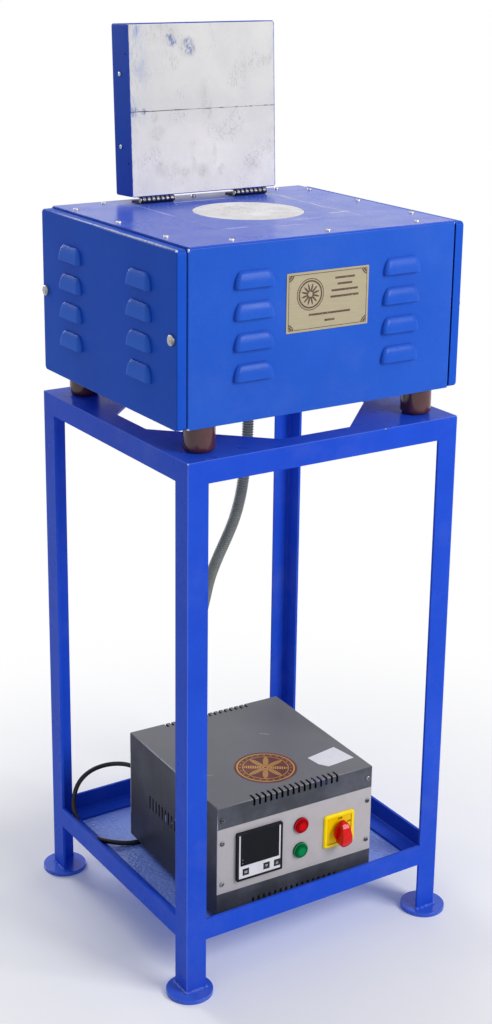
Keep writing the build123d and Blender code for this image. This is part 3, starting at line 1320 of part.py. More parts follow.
def biarc(start, start_way, end, end_way):
    """Two arcs from start to end that keep both directions and meet smoothly."""
    chord = end - start
    ways = start_way + end_way
    a = 2 * (start_way.dot(end_way) - 1)
    b = -2 * chord.dot(ways)
    c = chord.dot(chord)
    reach = (-b - sqrt(b * b - 4 * a * c)) / (2 * a) if abs(a) > 1e-9 else -c / b
    knee, elbow = start + start_way * reach, end - end_way * reach
    joint = (knee + elbow) * 0.5
    TangentArc(start, joint, tangent=start_way)
    TangentArc(joint, end, tangent=(elbow - knee).normalized())


QUARTERS = round(COIL_TURNS * 8)
coil_stations = [COIL_TURNS * n / QUARTERS for n in range(0, QUARTERS + 1, 2)]
if coil_stations[-1] != COIL_TURNS:
    coil_stations.append(COIL_TURNS)
COIL_IN = coil_point(0) - coil_direction(0) * COIL_LEAD_IN
COIL_OUT = coil_point(COIL_TURNS) + coil_direction(COIL_TURNS) * COIL_LEAD_OUT
with BuildLine() as coil_route:
    Line(COIL_IN, coil_point(0))
    for here, there in zip(coil_stations, coil_stations[1:]):
        biarc(coil_point(here), coil_direction(here), coil_point(there), coil_direction(there))
    Line(coil_point(COIL_TURNS), COIL_OUT)
with BuildPart() as mains_cord_coil:
    with BuildSketch(Plane(origin=COIL_IN, z_dir=coil_direction(0))):
        Circle(CORD_R)
    sweep(path=coil_route.line)
mains_cord_coil.part.label = "mains_cord_coil"
export_step(mains_cord_coil.part, "parts/mains_cord_coil.step")
check_tube("mains_cord_coil", mains_cord_coil.part, pi * CORD_R**2, coil_route.wire().length)

# Least gap of the coil to itself, measured between points at least a third of a turn apart.
samples = [coil_point(COIL_TURNS * n / 400) for n in range(401)]
apart = round(400 / COIL_TURNS / 3)
least = min(
    (samples[m] - samples[n]).length for n in range(len(samples)) for m in range(n + apart, len(samples))
)
print(f"coil: least gap to itself {least - 2 * CORD_R:.2f}")

# The cord's free stretch, chosen by eye: out of the relief, round in a hanging loop, over the side rail's
# flat flange and along the tray, under the box and into the coil.
CORD_START = RELIEF_FACE.origin + BOX_BACK * RELIEF_L
CORD_FLANGE = CORD_FLOOR + ANGLE_T
CORD_POINTS = [
    CORD_START,
    CORD_START + BOX_BACK * CORD_STUB,
    Vector(-158.0, 191.0, 227.0),
    Vector(-189.0, 209.0, 225.0),
    Vector(-225.0, 213.0, 218.0),
    Vector(-251.0, 213.0, 197.0),
    Vector(-263.5, 209.0, 163.0),
    Vector(-265.5, 192.5, 133.0),
    Vector(-262.5, 165.0, CORD_FLANGE + CORD_HUMP),
    Vector(-255.0, 132.0, CORD_FLANGE),
    Vector(-236.0, 106.0, CORD_FLANGE + CORD_HUMP),
    Vector(-204.0, 89.0, CORD_FLOOR),
    Vector(-166.0, 83.0, CORD_FLOOR),
    Vector(-124.0, 85.0, CORD_FLOOR),
    Vector(-80.0, 95.0, CORD_FLOOR),
    Vector(-34.0, COIL_IN.Y, CORD_FLOOR),
    COIL_IN,
]
cord_radii = bend_radii(CORD_POINTS)
print("cord bend radii", [round(radius) for radius in cord_radii])
with BuildLine() as cord_route:
    FilletPolyline(*CORD_POINTS, radius=cord_radii)
with BuildPart() as mains_cord:
    with BuildSketch(Plane(origin=CORD_START, z_dir=BOX_BACK)):
        Circle(CORD_R)
    sweep(path=cord_route.line)
mains_cord.part.label = "mains_cord"
export_step(mains_cord.part, "parts/mains_cord.step")
check_tube("mains_cord", mains_cord.part, pi * CORD_R**2, cord_route.wire().length)

# Plug beside the coil: tapered relief, body lying on the tray, and three pins.
PLUG_WAY = coil_direction(COIL_TURNS)
PLUG_HALF = COIL_OUT.Z - TRAY_TOP
PLUG_PLANE = Plane(origin=COIL_OUT, x_dir=(0, 0, 1), z_dir=PLUG_WAY)
with BuildPart() as mains_plug:
    with BuildSketch(PLUG_PLANE):
        Circle(RELIEF_TIP_R)
    with BuildSketch(PLUG_PLANE.offset(PLUG_TAPER_L)):
        Circle(RELIEF_ROOT_R)
    loft(ruled=True)
    with BuildSketch(PLUG_PLANE.offset(PLUG_TAPER_L)):
        RectangleRounded(2 * PLUG_HALF, PLUG_BODY_W, PLUG_BODY_EDGE_R)
    extrude(amount=PLUG_BODY_L)
    with BuildSketch(PLUG_PLANE.offset(PLUG_TAPER_L + PLUG_BODY_L)):
        half_spacing = PLUG_PIN_SPACING / 2
        with Locations(
            (-half_spacing, -PLUG_PIN_SPACING), (-half_spacing, PLUG_PIN_SPACING), (half_spacing, 0)
        ):
            Circle(PLUG_PIN_R)
    extrude(amount=PLUG_PIN_L)
mains_plug.part.label = "mains_plug"
export_step(mains_plug.part, "parts/mains_plug.step")
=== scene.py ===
"""Looks of an electric gold melting furnace on its angle-iron stand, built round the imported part.

Every length is in metres in the part's own frame: the floor is z = 0 and the front faces -Y. Sizes that
repeat the part's own are written in millimetres and scaled by MM.
"""

import logging
import math
from collections.abc import Iterable, Sequence
from dataclasses import dataclass, field
from enum import Enum
from itertools import product
from typing import Protocol

import bmesh
import bpy
from mathutils import Matrix, Vector

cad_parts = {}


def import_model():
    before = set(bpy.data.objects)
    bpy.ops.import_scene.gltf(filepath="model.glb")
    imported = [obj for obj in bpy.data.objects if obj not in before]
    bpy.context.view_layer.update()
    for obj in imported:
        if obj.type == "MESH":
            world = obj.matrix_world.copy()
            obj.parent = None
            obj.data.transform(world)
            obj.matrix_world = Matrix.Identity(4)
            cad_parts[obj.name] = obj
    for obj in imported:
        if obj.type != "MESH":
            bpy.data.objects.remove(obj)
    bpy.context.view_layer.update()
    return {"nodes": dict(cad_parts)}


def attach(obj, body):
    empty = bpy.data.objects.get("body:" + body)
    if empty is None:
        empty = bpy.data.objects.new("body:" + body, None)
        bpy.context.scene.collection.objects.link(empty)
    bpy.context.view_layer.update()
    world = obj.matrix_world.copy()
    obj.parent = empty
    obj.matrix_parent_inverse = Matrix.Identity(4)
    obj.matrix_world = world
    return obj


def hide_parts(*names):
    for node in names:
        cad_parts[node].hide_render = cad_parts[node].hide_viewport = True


LOG = logging.getLogger("melting_furnace")
MM = 0.001
Colour = tuple[int, int, int]
Point = tuple[float, float, float]
Outline = Sequence[tuple[float, float]]
NodeOutput = bpy.types.NodeSocket
Tone = NodeOutput | Colour
Material = bpy.types.Material
Mesh = bpy.types.Mesh
Shape = bmesh.types.BMesh
Nodes = dict[str, bpy.types.Object]


class Body(Enum):
    """Bodies of the part that pieces ride on."""

    ROOT = "root"
    LID = "lid"
    KEY_MODE = "key_mode"
    KEY_DOWN = "key_down"
    KEY_UP = "key_up"


def linked(name: str, data: bpy.types.ID) -> bpy.types.Object:
    """Put a new object with this data into the scene."""
    made = bpy.data.objects.new(name, data)
    bpy.context.scene.collection.objects.link(made)
    return made


def evaluated(source: bpy.types.Object) -> Mesh:
    """Mesh of an object as its modifiers or its curve give it."""
    view = bpy.context.evaluated_depsgraph_get()
    return bpy.data.meshes.new_from_object(source.evaluated_get(view))


def linear(colour: Colour) -> tuple[float, float, float, float]:
    """Turn a colour in 0 to 255 display values into Blender's linear red, green, blue and alpha."""
    parts = (c / 255 for c in colour)
    return (*(c / 12.92 if c <= 0.04045 else ((c + 0.055) / 1.055) ** 2.4 for c in parts), 1.0)


def mm(*values: float) -> Vector:
    """Turn a point or a direction in millimetres into metres."""
    return Vector(values) * MM


# ---------------------------------------------------------------- node trees
class Value:
    """A number socket of a node tree that takes part in Python arithmetic."""

    def __init__(self, tree: "NodeTree", socket: NodeOutput) -> None:
        """Keep the socket and the tree it belongs to."""
        self.tree = tree
        self.socket = socket

    def maths(self, operation: str, *operands: "Value | float", clamp: bool = False) -> "Value":
        """Add a Math node.

        Args:
            operation: Blender's name of the operation.
            operands: values or numbers, in the node's order.
            clamp: whether the result is kept from 0 to 1.

        Returns:
            The node's result.
        """
        settings = {"operation": operation, "use_clamp": clamp}
        node = self.tree.node(self.tree.MATH, settings, dict(enumerate(operands)))
        return Value(self.tree, node.outputs[0])

    def __add__(self, other: "Value | float") -> "Value":
        """Add another value."""
        return self.maths("ADD", self, other)

    __radd__ = __add__

    def __sub__(self, other: "Value | float") -> "Value":
        """Take another value away."""
        return self.maths("SUBTRACT", self, other)

    def __rsub__(self, other: "Value | float") -> "Value":
        """Take this value away from a number."""
        return self.maths("SUBTRACT", other, self)

    def __mul__(self, other: "Value | float") -> "Value":
        """Multiply by another value."""
        return self.maths("MULTIPLY", self, other)

    __rmul__ = __mul__

    def __truediv__(self, other: "Value | float") -> "Value":
        """Divide by another value."""
        return self.maths("DIVIDE", self, other)

    def __abs__(self) -> "Value":
        """Drop the sign."""
        return self.maths("ABSOLUTE", self)

    def sine(self) -> "Value":
        """Sine of an angle in radians."""
        return self.maths("SINE", self)

    def root(self) -> "Value":
        """Square root."""
        return self.maths("SQRT", self)

    def least(self, other: "Value | float") -> "Value":
        """Smaller of two values."""
        return self.maths("MINIMUM", self, other)

    def most(self, other: "Value | float") -> "Value":
        """Larger of two values."""
        return self.maths("MAXIMUM", self, other)

    def clamped(self) -> "Value":
        """Keep the value from 0 to 1."""
        return self.maths("ADD", self, 0.0, clamp=True)

    def rise(self, low: float, high: float) -> "Value":
        """Go smoothly from 0 at low to 1 at high; low above high gives a fall."""
        settings = {"interpolation_type": "SMOOTHSTEP"}
        flipped = low > high
        sockets = {"Value": self, "From Min": min(low, high), "From Max": max(low, high)}
        sockets |= {"To Min": float(flipped), "To Max": float(not flipped)}
        node = self.tree.node("ShaderNodeMapRange", settings, sockets)
        return Value(self.tree, node.outputs["Result"])

    def band(self, centre: float, half: float, soft: float) -> "Value":
        """Mark a band round a centre, 1 inside it and 0 past its soft edge."""
        return abs(self - centre).rise(half + soft, half)

    def repeat(self, pitch: float) -> "Value":
        """Distance from the nearest of the marks a pitch apart."""
        return self.maths("PINGPONG", self, pitch / 2)


class NodeTree:
    """What a material's tree and a geometry tree share."""

    MATH = "ShaderNodeMath"

    def __init__(self, tree: bpy.types.NodeTree) -> None:
        """Keep Blender's own tree."""
        self.tree = tree

    def node(self, kind: str, settings: dict | None = None, sockets: dict | None = None) -> bpy.types.Node:
        """Add a node.

        Args:
            kind: Blender's type of the node.
            settings: its properties, set before its sockets.
            sockets: input name or index, and the value, node socket or plain value it gets.

        Returns:
            The new node.
        """
        made = self.tree.nodes.new(kind)
        for name, value in (settings or {}).items():
            setattr(made, name, value)
        for name, value in (sockets or {}).items():
            source = value.socket if isinstance(value, Value) else value
            if isinstance(source, NodeOutput):
                self.tree.links.new(source, made.inputs[name])
            else:
                made.inputs[name].default_value = source
        return made


class Recipe(NodeTree):
    """Node tree of one material, in the row frame's own coordinates.

    MIX_INPUTS are the Mix node's factor and its two colour inputs, and MIX_RESULT is its colour output.
    """

    MIX_INPUTS = (0, 6, 7)
    MIX_RESULT = 2

    def __init__(self, name: str) -> None:
        """Start an empty material of this name."""
        self.material = bpy.data.materials.new(name)
        self.material.use_nodes = True
        super().__init__(self.material.node_tree)
        self.tree.nodes.clear()
        self.place = self.node("ShaderNodeTexCoord").outputs["Object"]
        split = self.node("ShaderNodeSeparateXYZ", {}, {"Vector": self.place})
        self.x, self.y, self.z = (Value(self, socket) for socket in split.outputs)

    def vector(self, operation: str, *operands: object) -> bpy.types.Node:
        """Add a Vector Math node on sockets or plain vectors."""
        return self.node("ShaderNodeVectorMath", {"operation": operation}, dict(enumerate(operands)))

    def along(self, origin: Vector, way: Vector) -> Value:
        """Coordinate from an origin along a direction."""
        moved = self.vector("SUBTRACT", self.place, tuple(origin)).outputs["Vector"]
        return Value(self, self.vector("DOT_PRODUCT", moved, tuple(way)).outputs["Value"])

    def spot(self, centre: Vector, radius: float, soft: float) -> Value:
        """Mark a ball round a centre."""
        apart = self.vector("DISTANCE", self.place, tuple(centre)).outputs["Value"]
        return Value(self, apart).rise(radius + soft, radius)

    def streak(self, start: Vector, end: Vector, half: float) -> Value:
        """Mark a straight streak between two points, fading to nothing at half its width."""
        way = end - start
        reach = self.along(start, way / way.length_squared).clamped()
        square = self.vector("SUBTRACT", self.place, tuple(start)).outputs["Vector"]
        square = Value(self, self.vector("DOT_PRODUCT", square, square).outputs["Value"])
        run = self.along(start, way)
        gap = (square - 2 * reach * run + reach * reach * way.length_squared).most(0.0).root()
        return gap.rise(half, 0.0) * abs(reach - 0.5).rise(0.5, 0.2)

    def noise(
        self, scale: float, detail: float = 3.0, stretch: Point = (1.0, 1.0, 1.0), shift: float = 0.0,
        roughness: float = 0.5, distortion: float = 0.0,
    ) -> Value:
        """Add a Noise Texture.

        Args:
            scale: size of the noise, in features a metre.
            detail: octaves.
            stretch: factor on each axis, so that a small one draws the noise out along it.
            shift: offset that gives another pattern.
            roughness: strength of the finer octaves.
            distortion: how far the pattern is bent.

        Returns:
            The noise, about 0.5 in the middle.
        """
        place = self.vector("MULTIPLY", self.place, stretch).outputs["Vector"]
        place = self.vector("ADD", place, (shift, shift * 0.7, -shift)).outputs["Vector"]
        sockets = {"Vector": place, "Scale": scale, "Detail": detail, "Roughness": roughness}
        sockets["Distortion"] = distortion
        return Value(self, self.node("ShaderNodeTexNoise", {}, sockets).outputs["Fac"])

    def cells(self, scale: float) -> Value:
        """Distance to the nearest of scattered points, in cell widths."""
        node = self.node("ShaderNodeTexVoronoi", {}, {"Vector": self.place, "Scale": scale})
        return Value(self, node.outputs["Distance"])

    def mix(self, share: Value | float, first: Tone, second: Tone) -> NodeOutput:
        """Mix two colours, each a socket or a display colour."""
        ends = (linear(tone) if isinstance(tone, tuple) else tone for tone in (first, second))
        sockets = dict(zip(self.MIX_INPUTS, (share, *ends)))
        return self.node("ShaderNodeMix", {"data_type": "RGBA"}, sockets).outputs[self.MIX_RESULT]

    def bump(self, height: Value, distance: float, under: NodeOutput | None = None) -> NodeOutput:
        """Raise the surface by a height of 0 to 1 times a distance in metres."""
        sockets = {"Height": height, "Distance": distance}
        if under is not None:
            sockets["Normal"] = under
        return self.node("ShaderNodeBump", {}, sockets).outputs["Normal"]

    def surface(self, **sockets: object) -> Material:
        """Close the tree with a Principled surface; underscores in the names stand for spaces.

        Returns:
            The finished material.
        """
        named = {name.replace("_", " "): value for name, value in sockets.items()}
        shader = self.node("ShaderNodeBsdfPrincipled", {}, named)
        self.node("ShaderNodeOutputMaterial", {}, {"Surface": shader.outputs[0]})
        return self.material


class Graph(NodeTree):
    """Geometry tree built in code, with named inputs."""

    def __init__(self, name: str, inputs: dict[str, str]) -> None:
        """Open the tree.

        Args:
            name: name of the tree.
            inputs: label of each input and its socket type.
        """
        tree = bpy.data.node_groups.new(name, "GeometryNodeTree")
        super().__init__(tree)
        tree.interface.new_socket("Geometry", in_out="INPUT", socket_type="NodeSocketGeometry")
        for label, kind in inputs.items():
            tree.interface.new_socket(label, in_out="INPUT", socket_type=kind)
        tree.interface.new_socket("Geometry", in_out="OUTPUT", socket_type="NodeSocketGeometry")
        self.given = self.node("NodeGroupInput").outputs

    def close(self, geometry: NodeOutput) -> None:
        """End the tree: instances become real, and get the Material input."""
        real = self.node("GeometryNodeRealizeInstances", {}, {"Geometry": geometry}).outputs[0]
        sockets = {"Geometry": real, "Material": self.given["Material"]}
        painted = self.node("GeometryNodeSetMaterial", {}, sockets).outputs[0]
        self.node("NodeGroupOutput", {}, {0: painted})

    def bake(self, carrier: bpy.types.Object, values: dict[str, object]) -> Mesh:
        """Run the tree on an object and keep the result.

        Args:
            carrier: object whose geometry feeds the tree; it is removed afterwards.
            values: value of each named input.

        Returns:
            The finished mesh.
        """
        modifier = carrier.modifiers.new(self.tree.name, "NODES")
        modifier.node_group = self.tree
        for item in self.tree.interface.items_tree:
            if item.in_out == "INPUT" and item.name in values:
                modifier[item.identifier] = values[item.name]
        mesh = evaluated(carrier)
        carrier.modifiers.remove(modifier)
        bpy.data.objects.remove(carrier)
        return mesh


def scatter_graph() -> Graph:
    """Tree that puts one shape on every point, turned to the point's own facing."""
    graph = Graph(
        "scatter_shape",
        {"Shape": "NodeSocketObject", "Spin": "NodeSocketFloat", "Material": "NodeSocketMaterial"},
    )
    facing = graph.node(
        "GeometryNodeInputNamedAttribute", {"data_type": "FLOAT_VECTOR"}, {"Name": "facing"}
    )
    turned = graph.node(
        "FunctionNodeAlignRotationToVector", {"axis": "Z"}, {"Vector": facing.outputs["Attribute"]}
    )
    spin = graph.node(
        "FunctionNodeRandomValue", {"data_type": "FLOAT"}, {2: 0.0, 3: graph.given["Spin"], "Seed": 7}
    )
    twist = graph.node("FunctionNodeAxisAngleToRotation", {}, {"Axis": (0, 0, 1), "Angle": spin.outputs[1]})
    pose = graph.node(
        "FunctionNodeRotateRotation", {"rotation_space": "LOCAL"},
        {"Rotation": turned.outputs[0], "Rotate By": twist.outputs[0]},
    )
    shape = graph.node("GeometryNodeObjectInfo", {}, {"Object": graph.given["Shape"]})
    placed = graph.node(
        "GeometryNodeInstanceOnPoints", {},
        {
            "Points": graph.given["Geometry"], "Instance": shape.outputs["Geometry"],
            "Rotation": pose.outputs[0],
        },
    )
    graph.close(placed.outputs[0])
    return graph


def bead_graph() -> Graph:
    """Tree that lays a row of overlapping drops along every edge, as a weld bead."""
    graph = Graph(
        "weld_bead",
        {"Pitch": "NodeSocketFloat", "Radius": "NodeSocketFloat", "Material": "NodeSocketMaterial"},
    )
    line = graph.node("GeometryNodeMeshToCurve", {}, {"Mesh": graph.given["Geometry"]}).outputs[0]
    row = graph.node(
        "GeometryNodeResampleCurve", {"mode": "LENGTH"}, {"Curve": line, "Length": graph.given["Pitch"]}
    )
    drop = graph.node("GeometryNodeMeshIcoSphere", {}, {"Radius": graph.given["Radius"], "Subdivisions": 2})
    size = graph.node("FunctionNodeRandomValue", {"data_type": "FLOAT"}, {2: 0.6, 3: 1.25, "Seed": 11})
    scale = graph.node("ShaderNodeCombineXYZ", {}, {axis: size.outputs[1] for axis in range(3)})
    placed = graph.node(
        "GeometryNodeInstanceOnPoints", {},
        {"Points": row.outputs[0], "Instance": drop.outputs[0], "Scale": scale.outputs[0]},
    )
    graph.close(placed.outputs[0])
    return graph


def ribbed_tube_graph() -> Graph:
    """Tree that sweeps a circle along a curve, its radius swelling into a rib at every pitch."""
    labels = ("Crest", "Groove", "Pitch", "Step")
    kinds = dict.fromkeys(labels, "NodeSocketFloat") | {"Material": "NodeSocketMaterial"}
    graph = Graph("ribbed_tube", kinds)
    crest, groove, pitch = (Value(graph, graph.given[label]) for label in labels[:3])
    fine = graph.node(
        "GeometryNodeResampleCurve", {"mode": "LENGTH"},
        {"Curve": graph.given["Geometry"], "Length": graph.given["Step"]},
    )
    length = Value(graph, graph.node("GeometryNodeSplineParameter").outputs["Length"])
    turn = length / pitch * (2 * math.pi)
    swell = (turn.sine() * 0.8 + 0.5).clamped()
    radius = groove + (crest - groove) * swell
    circle = graph.node("GeometryNodeCurvePrimitiveCircle", {}, {"Resolution": 20, "Radius": 1.0})
    tube = graph.node(
        "GeometryNodeCurveToMesh", {},
        {"Curve": fine.outputs[0], "Profile Curve": circle.outputs[0], "Scale": radius, "Fill Caps": True},
    )
    graph.close(tube.outputs[0])
    return graph


# ---------------------------------------------------------------- finishes
@dataclass(frozen=True)
class Wear:
    """A mark on a painted surface.

    A mark with an end is a streak, and one without it is a spot.
    """

    at: Vector
    size: float
    end: Vector | None = None

    def mask(self, recipe: Recipe) -> Value:
        """Where the mark is, 1 in its middle."""
        if self.end is None:
            return recipe.spot(self.at, self.size * 0.4, self.size * 0.6)
        return recipe.streak(self.at, self.end, self.size)


def joined(masks: Iterable[Value]) -> Value | None:
    """Largest of several masks, or None where there is none."""
    whole: Value | None = None
    for mask in masks:
        whole = mask if whole is None else whole.most(mask)
    return whole


@dataclass(frozen=True)
class Enamel:
    """Sprayed enamel on sheet steel: orange peel, clouding, settled dust, chips, scratches and painted
    light.

    In metres of the part's frame, painted_top_light is a height above which the paint is painted paler, as
    light on the top face, edges the half width, half depth and top of a frame with a painted highlight
    along its edges, crease the left, right, front and back of a pressed outline with a painted highlight
    along it, and proud the middle and half width past which forms stand out of side panels and get a
    painted highlight.
    The scratches may also be painted highlight streaks, and the holes get painted shade.
    """

    name: str
    colour: Colour
    cloud: Colour
    roughness: float = 0.36
    specular: float = 0.08
    peel: float = 0.00006
    speckle: float = 0.5
    peel_scale: float = 420.0
    dust: float = 0.0
    painted_top_light: tuple[float, Colour] | None = None
    edges: tuple[float, float, float] | None = None
    chips: Iterable[Wear] = ()
    # Scratches, and painted highlight streaks along rims, edges and creases.
    scratches: Iterable[Wear] = ()
    holes: Iterable[Wear] = ()
    crease: tuple[float, float, float, float] | None = None
    proud: tuple[float, float] | None = None

    DUSTY = (176, 182, 205)
    # Painted highlight on forms that stand proud of a side panel.
    PROUD_HIGHLIGHT = (84, 138, 244)
    # Painted highlight along a frame's edges.
    BLUE_MARKS = (132, 164, 244)
    # Painted highlight along a pressed crease.
    CREASE_HIGHLIGHT = (196, 206, 246)
    # Pale colour of scratches, and of painted highlight streaks.
    SCRATCHED = (226, 230, 246)
    CHIPPED = (188, 190, 196)
    # Painted shade standing for the inside of a hole.
    HOLE_SHADE = (10, 12, 26)

    def build(self) -> Material:
        """Make the material."""
        recipe = Recipe(self.name)
        clouds = recipe.noise(5.5, 4, shift=3.1).rise(0.38, 0.66)
        mottle = recipe.noise(60.0, 3, shift=1.3)
        grain = recipe.noise(640.0, 3, shift=2.9, roughness=0.7).rise(0.3, 0.7)
        tone = recipe.mix(clouds * 0.45 + mottle * 0.2, self.colour, self.cloud)
        tone = recipe.mix((1.0 - grain) * self.speckle * 0.4, tone, tuple(c * 3 // 5 for c in self.cloud))
        rough = self.roughness + (recipe.noise(22.0, 4, shift=8.0) - 0.5) * 0.22
        peel = recipe.noise(self.peel_scale, 2) + recipe.noise(self.peel_scale * 0.22, 2, shift=4.0) * 1.4
        normal = recipe.bump(peel, self.peel)
        metallic: Value | float = 0.0
        if self.dust:
            lying = recipe.noise(9.0, 6, shift=12.0, roughness=0.65).rise(0.42, 0.78) * self.dust
            speck = recipe.cells(230.0).rise(0.16, 0.05) * recipe.noise(18.0, 2, shift=5.5).rise(0.5, 0.7)
            tone = recipe.mix((lying + speck * self.dust).clamped(), tone, self.DUSTY)
            rough = rough + lying * 0.2
        # Painted light: above this height the paint is painted paler, as light falling on the top face.
        if self.painted_top_light:
            height, pale = self.painted_top_light
            tone = recipe.mix(recipe.z.rise(height - 0.003, height) * 0.9, tone, pale)
        # Painted highlight: forms proud of the side panel, such as the louvre hoods, are painted a paler
        # blue.
        if self.proud:
            middle, reach = self.proud
            proud_highlight = (abs(recipe.x - middle) - reach).rise(0.0008, 0.0045)
            tone = recipe.mix(proud_highlight * 0.3, tone, self.PROUD_HIGHLIGHT)
        if self.edges:
            half_w, half_d, top = self.edges
            side_x, side_y = abs(abs(recipe.x) - half_w), abs(abs(recipe.y) - half_d)
            corner = side_x.least(side_y).rise(0.001, 0.0)
            # Painted highlight: a paler blue along the frame's edges and corners.
            edge_highlight = side_x.most(side_y).rise(0.0022, 0.0) + corner * (recipe.z - top).rise(-0.0022, 0.0)
            tone = recipe.mix(edge_highlight.clamped() * 0.26, tone, self.BLUE_MARKS)
        if self.crease:
            left, right, front, back = self.crease
            out = abs(recipe.x - (left + right) / 2) - (right - left) / 2
            out = out.most(abs(recipe.y - (front + back) / 2) - (back - front) / 2)
            normal = recipe.bump(out.rise(0.004, -0.004), 0.0011, normal)
            # Painted highlight: a pale line along the crease, over its bump.
            tone = recipe.mix(out.band(0.0, 0.001, 0.003) * 0.24, tone, self.CREASE_HIGHLIGHT)
        # Scratches, and painted highlight streaks along rims, edges and creases, in one pale colour.
        scratch_and_highlight = joined(mark.mask(recipe) for mark in self.scratches)
        if scratch_and_highlight is not None:
            broken = recipe.noise(160.0, 3, shift=2.2).rise(0.24, 0.5)
            tone = recipe.mix(scratch_and_highlight * broken * 0.85, tone, self.SCRATCHED)
        chip = joined(mark.mask(recipe) for mark in self.chips)
        if chip is not None:
            bare = (chip * 1.25 - recipe.noise(330.0, 4, shift=6.0) * 0.95).rise(0.18, 0.3)
            tone = recipe.mix(bare, tone, self.CHIPPED)
            rough = rough + bare * 0.1
            metallic = bare * 0.7
        # Painted shade: a dark disc where each hole is, standing for its inside.
        hole = joined(mark.mask(recipe) for mark in self.holes)
        if hole is not None:
            tone = recipe.mix(hole.rise(0.3, 0.9), tone, self.HOLE_SHADE)
        return recipe.surface(
            Base_Color=tone, Roughness=rough.clamped(), Metallic=metallic, Normal=normal,
            Specular_IOR_Level=self.specular,
        )


@dataclass(frozen=True)
class Scuffs:
    """Blue paint scuffed over the edges of white boards.

    Each pair says where a scuff is gone and where it is strongest, across from the left edge or as a
    height.
    """

    left: float
    side: tuple[float, float] = (0.06, 0.0)
    side_height: tuple[float, float] = (1.46, 1.62)
    top: tuple[float, float] = (1.63, 1.665)
    top_across: tuple[float, float] = (0.12, 0.0)
    right: tuple[float, float] = (0.285, 0.315)
    left_rim: tuple[float, float] = (0.0028, 0.0012)
    right_rim: tuple[float, float] = (0.3072, 0.3088)
    low_rim: tuple[float, float] = (1.3575, 1.3560)


@dataclass(frozen=True)
class FibreBoard:
    """White ceramic fibre board: soft mottling, rubbed paint, soot specks and fine scratches."""

    name: str
    colour: Colour = (226, 224, 219)
    low_colour: Colour | None = None
    low_height: tuple[float, float] = (1.52, 1.42)
    rubs: tuple[Wear, ...] = ()
    smears: tuple[Wear, ...] = ()
    seam: tuple[Vector, Vector, float] | None = None
    scuffs: Scuffs | None = None
    scratched: float = 0.4
    grain: float = 0.0003

    MOTTLED = (200, 198, 197)
    SOOT = (120, 118, 124)
    SMEARED = (164, 158, 150)
    SCRATCHED = (124, 126, 140)
    BLUE_MARKS = (80, 108, 172)
    SCUFFED = (126, 152, 204)
    CHIPPED = (74, 84, 120)
    SEAM = (84, 76, 76)

    def build(self) -> Material:
        """Make the material."""
        recipe = Recipe(self.name)
        patch = recipe.noise(14.0, 5, shift=2.0, roughness=0.6).rise(0.3, 0.72)
        fibre = recipe.noise(150.0, 4, (1.0, 0.35, 1.0), 1.0, 0.6)
        ground = self.colour
        if self.low_colour is not None:
            ground = recipe.mix(recipe.z.rise(*self.low_height), ground, self.low_colour)
        tone = recipe.mix(patch * 0.35 + fibre * 0.2, ground, self.MOTTLED)
        soot = recipe.noise(95.0, 5, shift=9.0, roughness=0.7).rise(0.66, 0.76)
        soot = soot * recipe.noise(11.0, 2, shift=5.0).rise(0.46, 0.62)
        tone = recipe.mix(soot * 0.5, tone, self.SOOT)
        lines = recipe.noise(62.0, 4, (1.0, 1.0, 0.5), 6.6, 0.55, 2.8).band(0.5, 0.006, 0.018)
        gate = recipe.noise(16.0, 2, shift=7.5).rise(0.5, 0.64) * self.scratched
        zones = joined(mark.mask(recipe) for mark in self.smears)
        if zones is not None:
            smear = recipe.noise(60.0, 5, (1.0, 1.0, 0.6), 8.1, 0.6).rise(0.3, 0.75) * zones
            tone = recipe.mix(smear * 0.3, tone, self.SMEARED)
            gate = gate.most(zones * recipe.noise(42.0, 3, shift=3.7).rise(0.46, 0.64) * 0.55)
        tone = recipe.mix(lines * gate, tone, self.SCRATCHED)
        blue = joined(mark.mask(recipe) for mark in self.rubs)
        if blue is not None:
            torn = recipe.noise(210.0, 4, (1.0, 1.0, 0.55), 4.4, 0.7).rise(0.38, 0.62)
            tone = recipe.mix((blue * torn).clamped() * 0.78, tone, self.BLUE_MARKS)
        if self.scuffs:
            scuffs = self.scuffs
            side = recipe.x - scuffs.left
            edge = side.rise(*scuffs.side) * (recipe.z.rise(*scuffs.side_height) * 0.7 + 0.2)
            edge = edge + recipe.z.rise(*scuffs.top) * side.rise(*scuffs.top_across) * 0.5
            edge = edge + side.rise(*scuffs.right) * 0.4
            stroke = recipe.noise(330.0, 4, (1.0, 1.0, 0.2), 4.4, 0.65).rise(0.52, 0.64)
            wash = recipe.noise(46.0, 4, (1.0, 1.0, 0.5), 2.7, 0.6).rise(0.4, 0.7)
            tone = recipe.mix((edge * (stroke * 0.42 + wash * 0.46)).clamped(), tone, self.SCUFFED)
            rim = side.rise(*scuffs.left_rim).most(side.rise(*scuffs.right_rim))
            rim = rim.most(recipe.z.rise(*scuffs.low_rim))
            chipped = recipe.noise(120.0, 3, (1.0, 1.0, 0.5), 6.2, 0.6).rise(0.4, 0.6)
            tone = recipe.mix((rim * chipped).clamped() * 0.75, tone, self.CHIPPED)
        if self.seam:
            origin, way, half = self.seam
            wander = (recipe.noise(26.0, 3, shift=3.3) - 0.5) * 0.003
            line = (recipe.along(origin, way) + wander).band(0.0, half * 0.6, half)
            gone = recipe.x.rise(0.0, -0.03) * 0.8 + recipe.noise(64.0, 2, shift=1.7).rise(0.55, 0.58)
            tone = recipe.mix((line * gone).clamped() * 0.8, tone, self.SEAM)
        height = recipe.noise(260.0, 4, (1.0, 0.4, 1.0), 2.0, 0.6) + recipe.noise(30.0, 3, shift=5.0) * 1.5
        return recipe.surface(Base_Color=tone, Roughness=0.93, Normal=recipe.bump(height, self.grain))


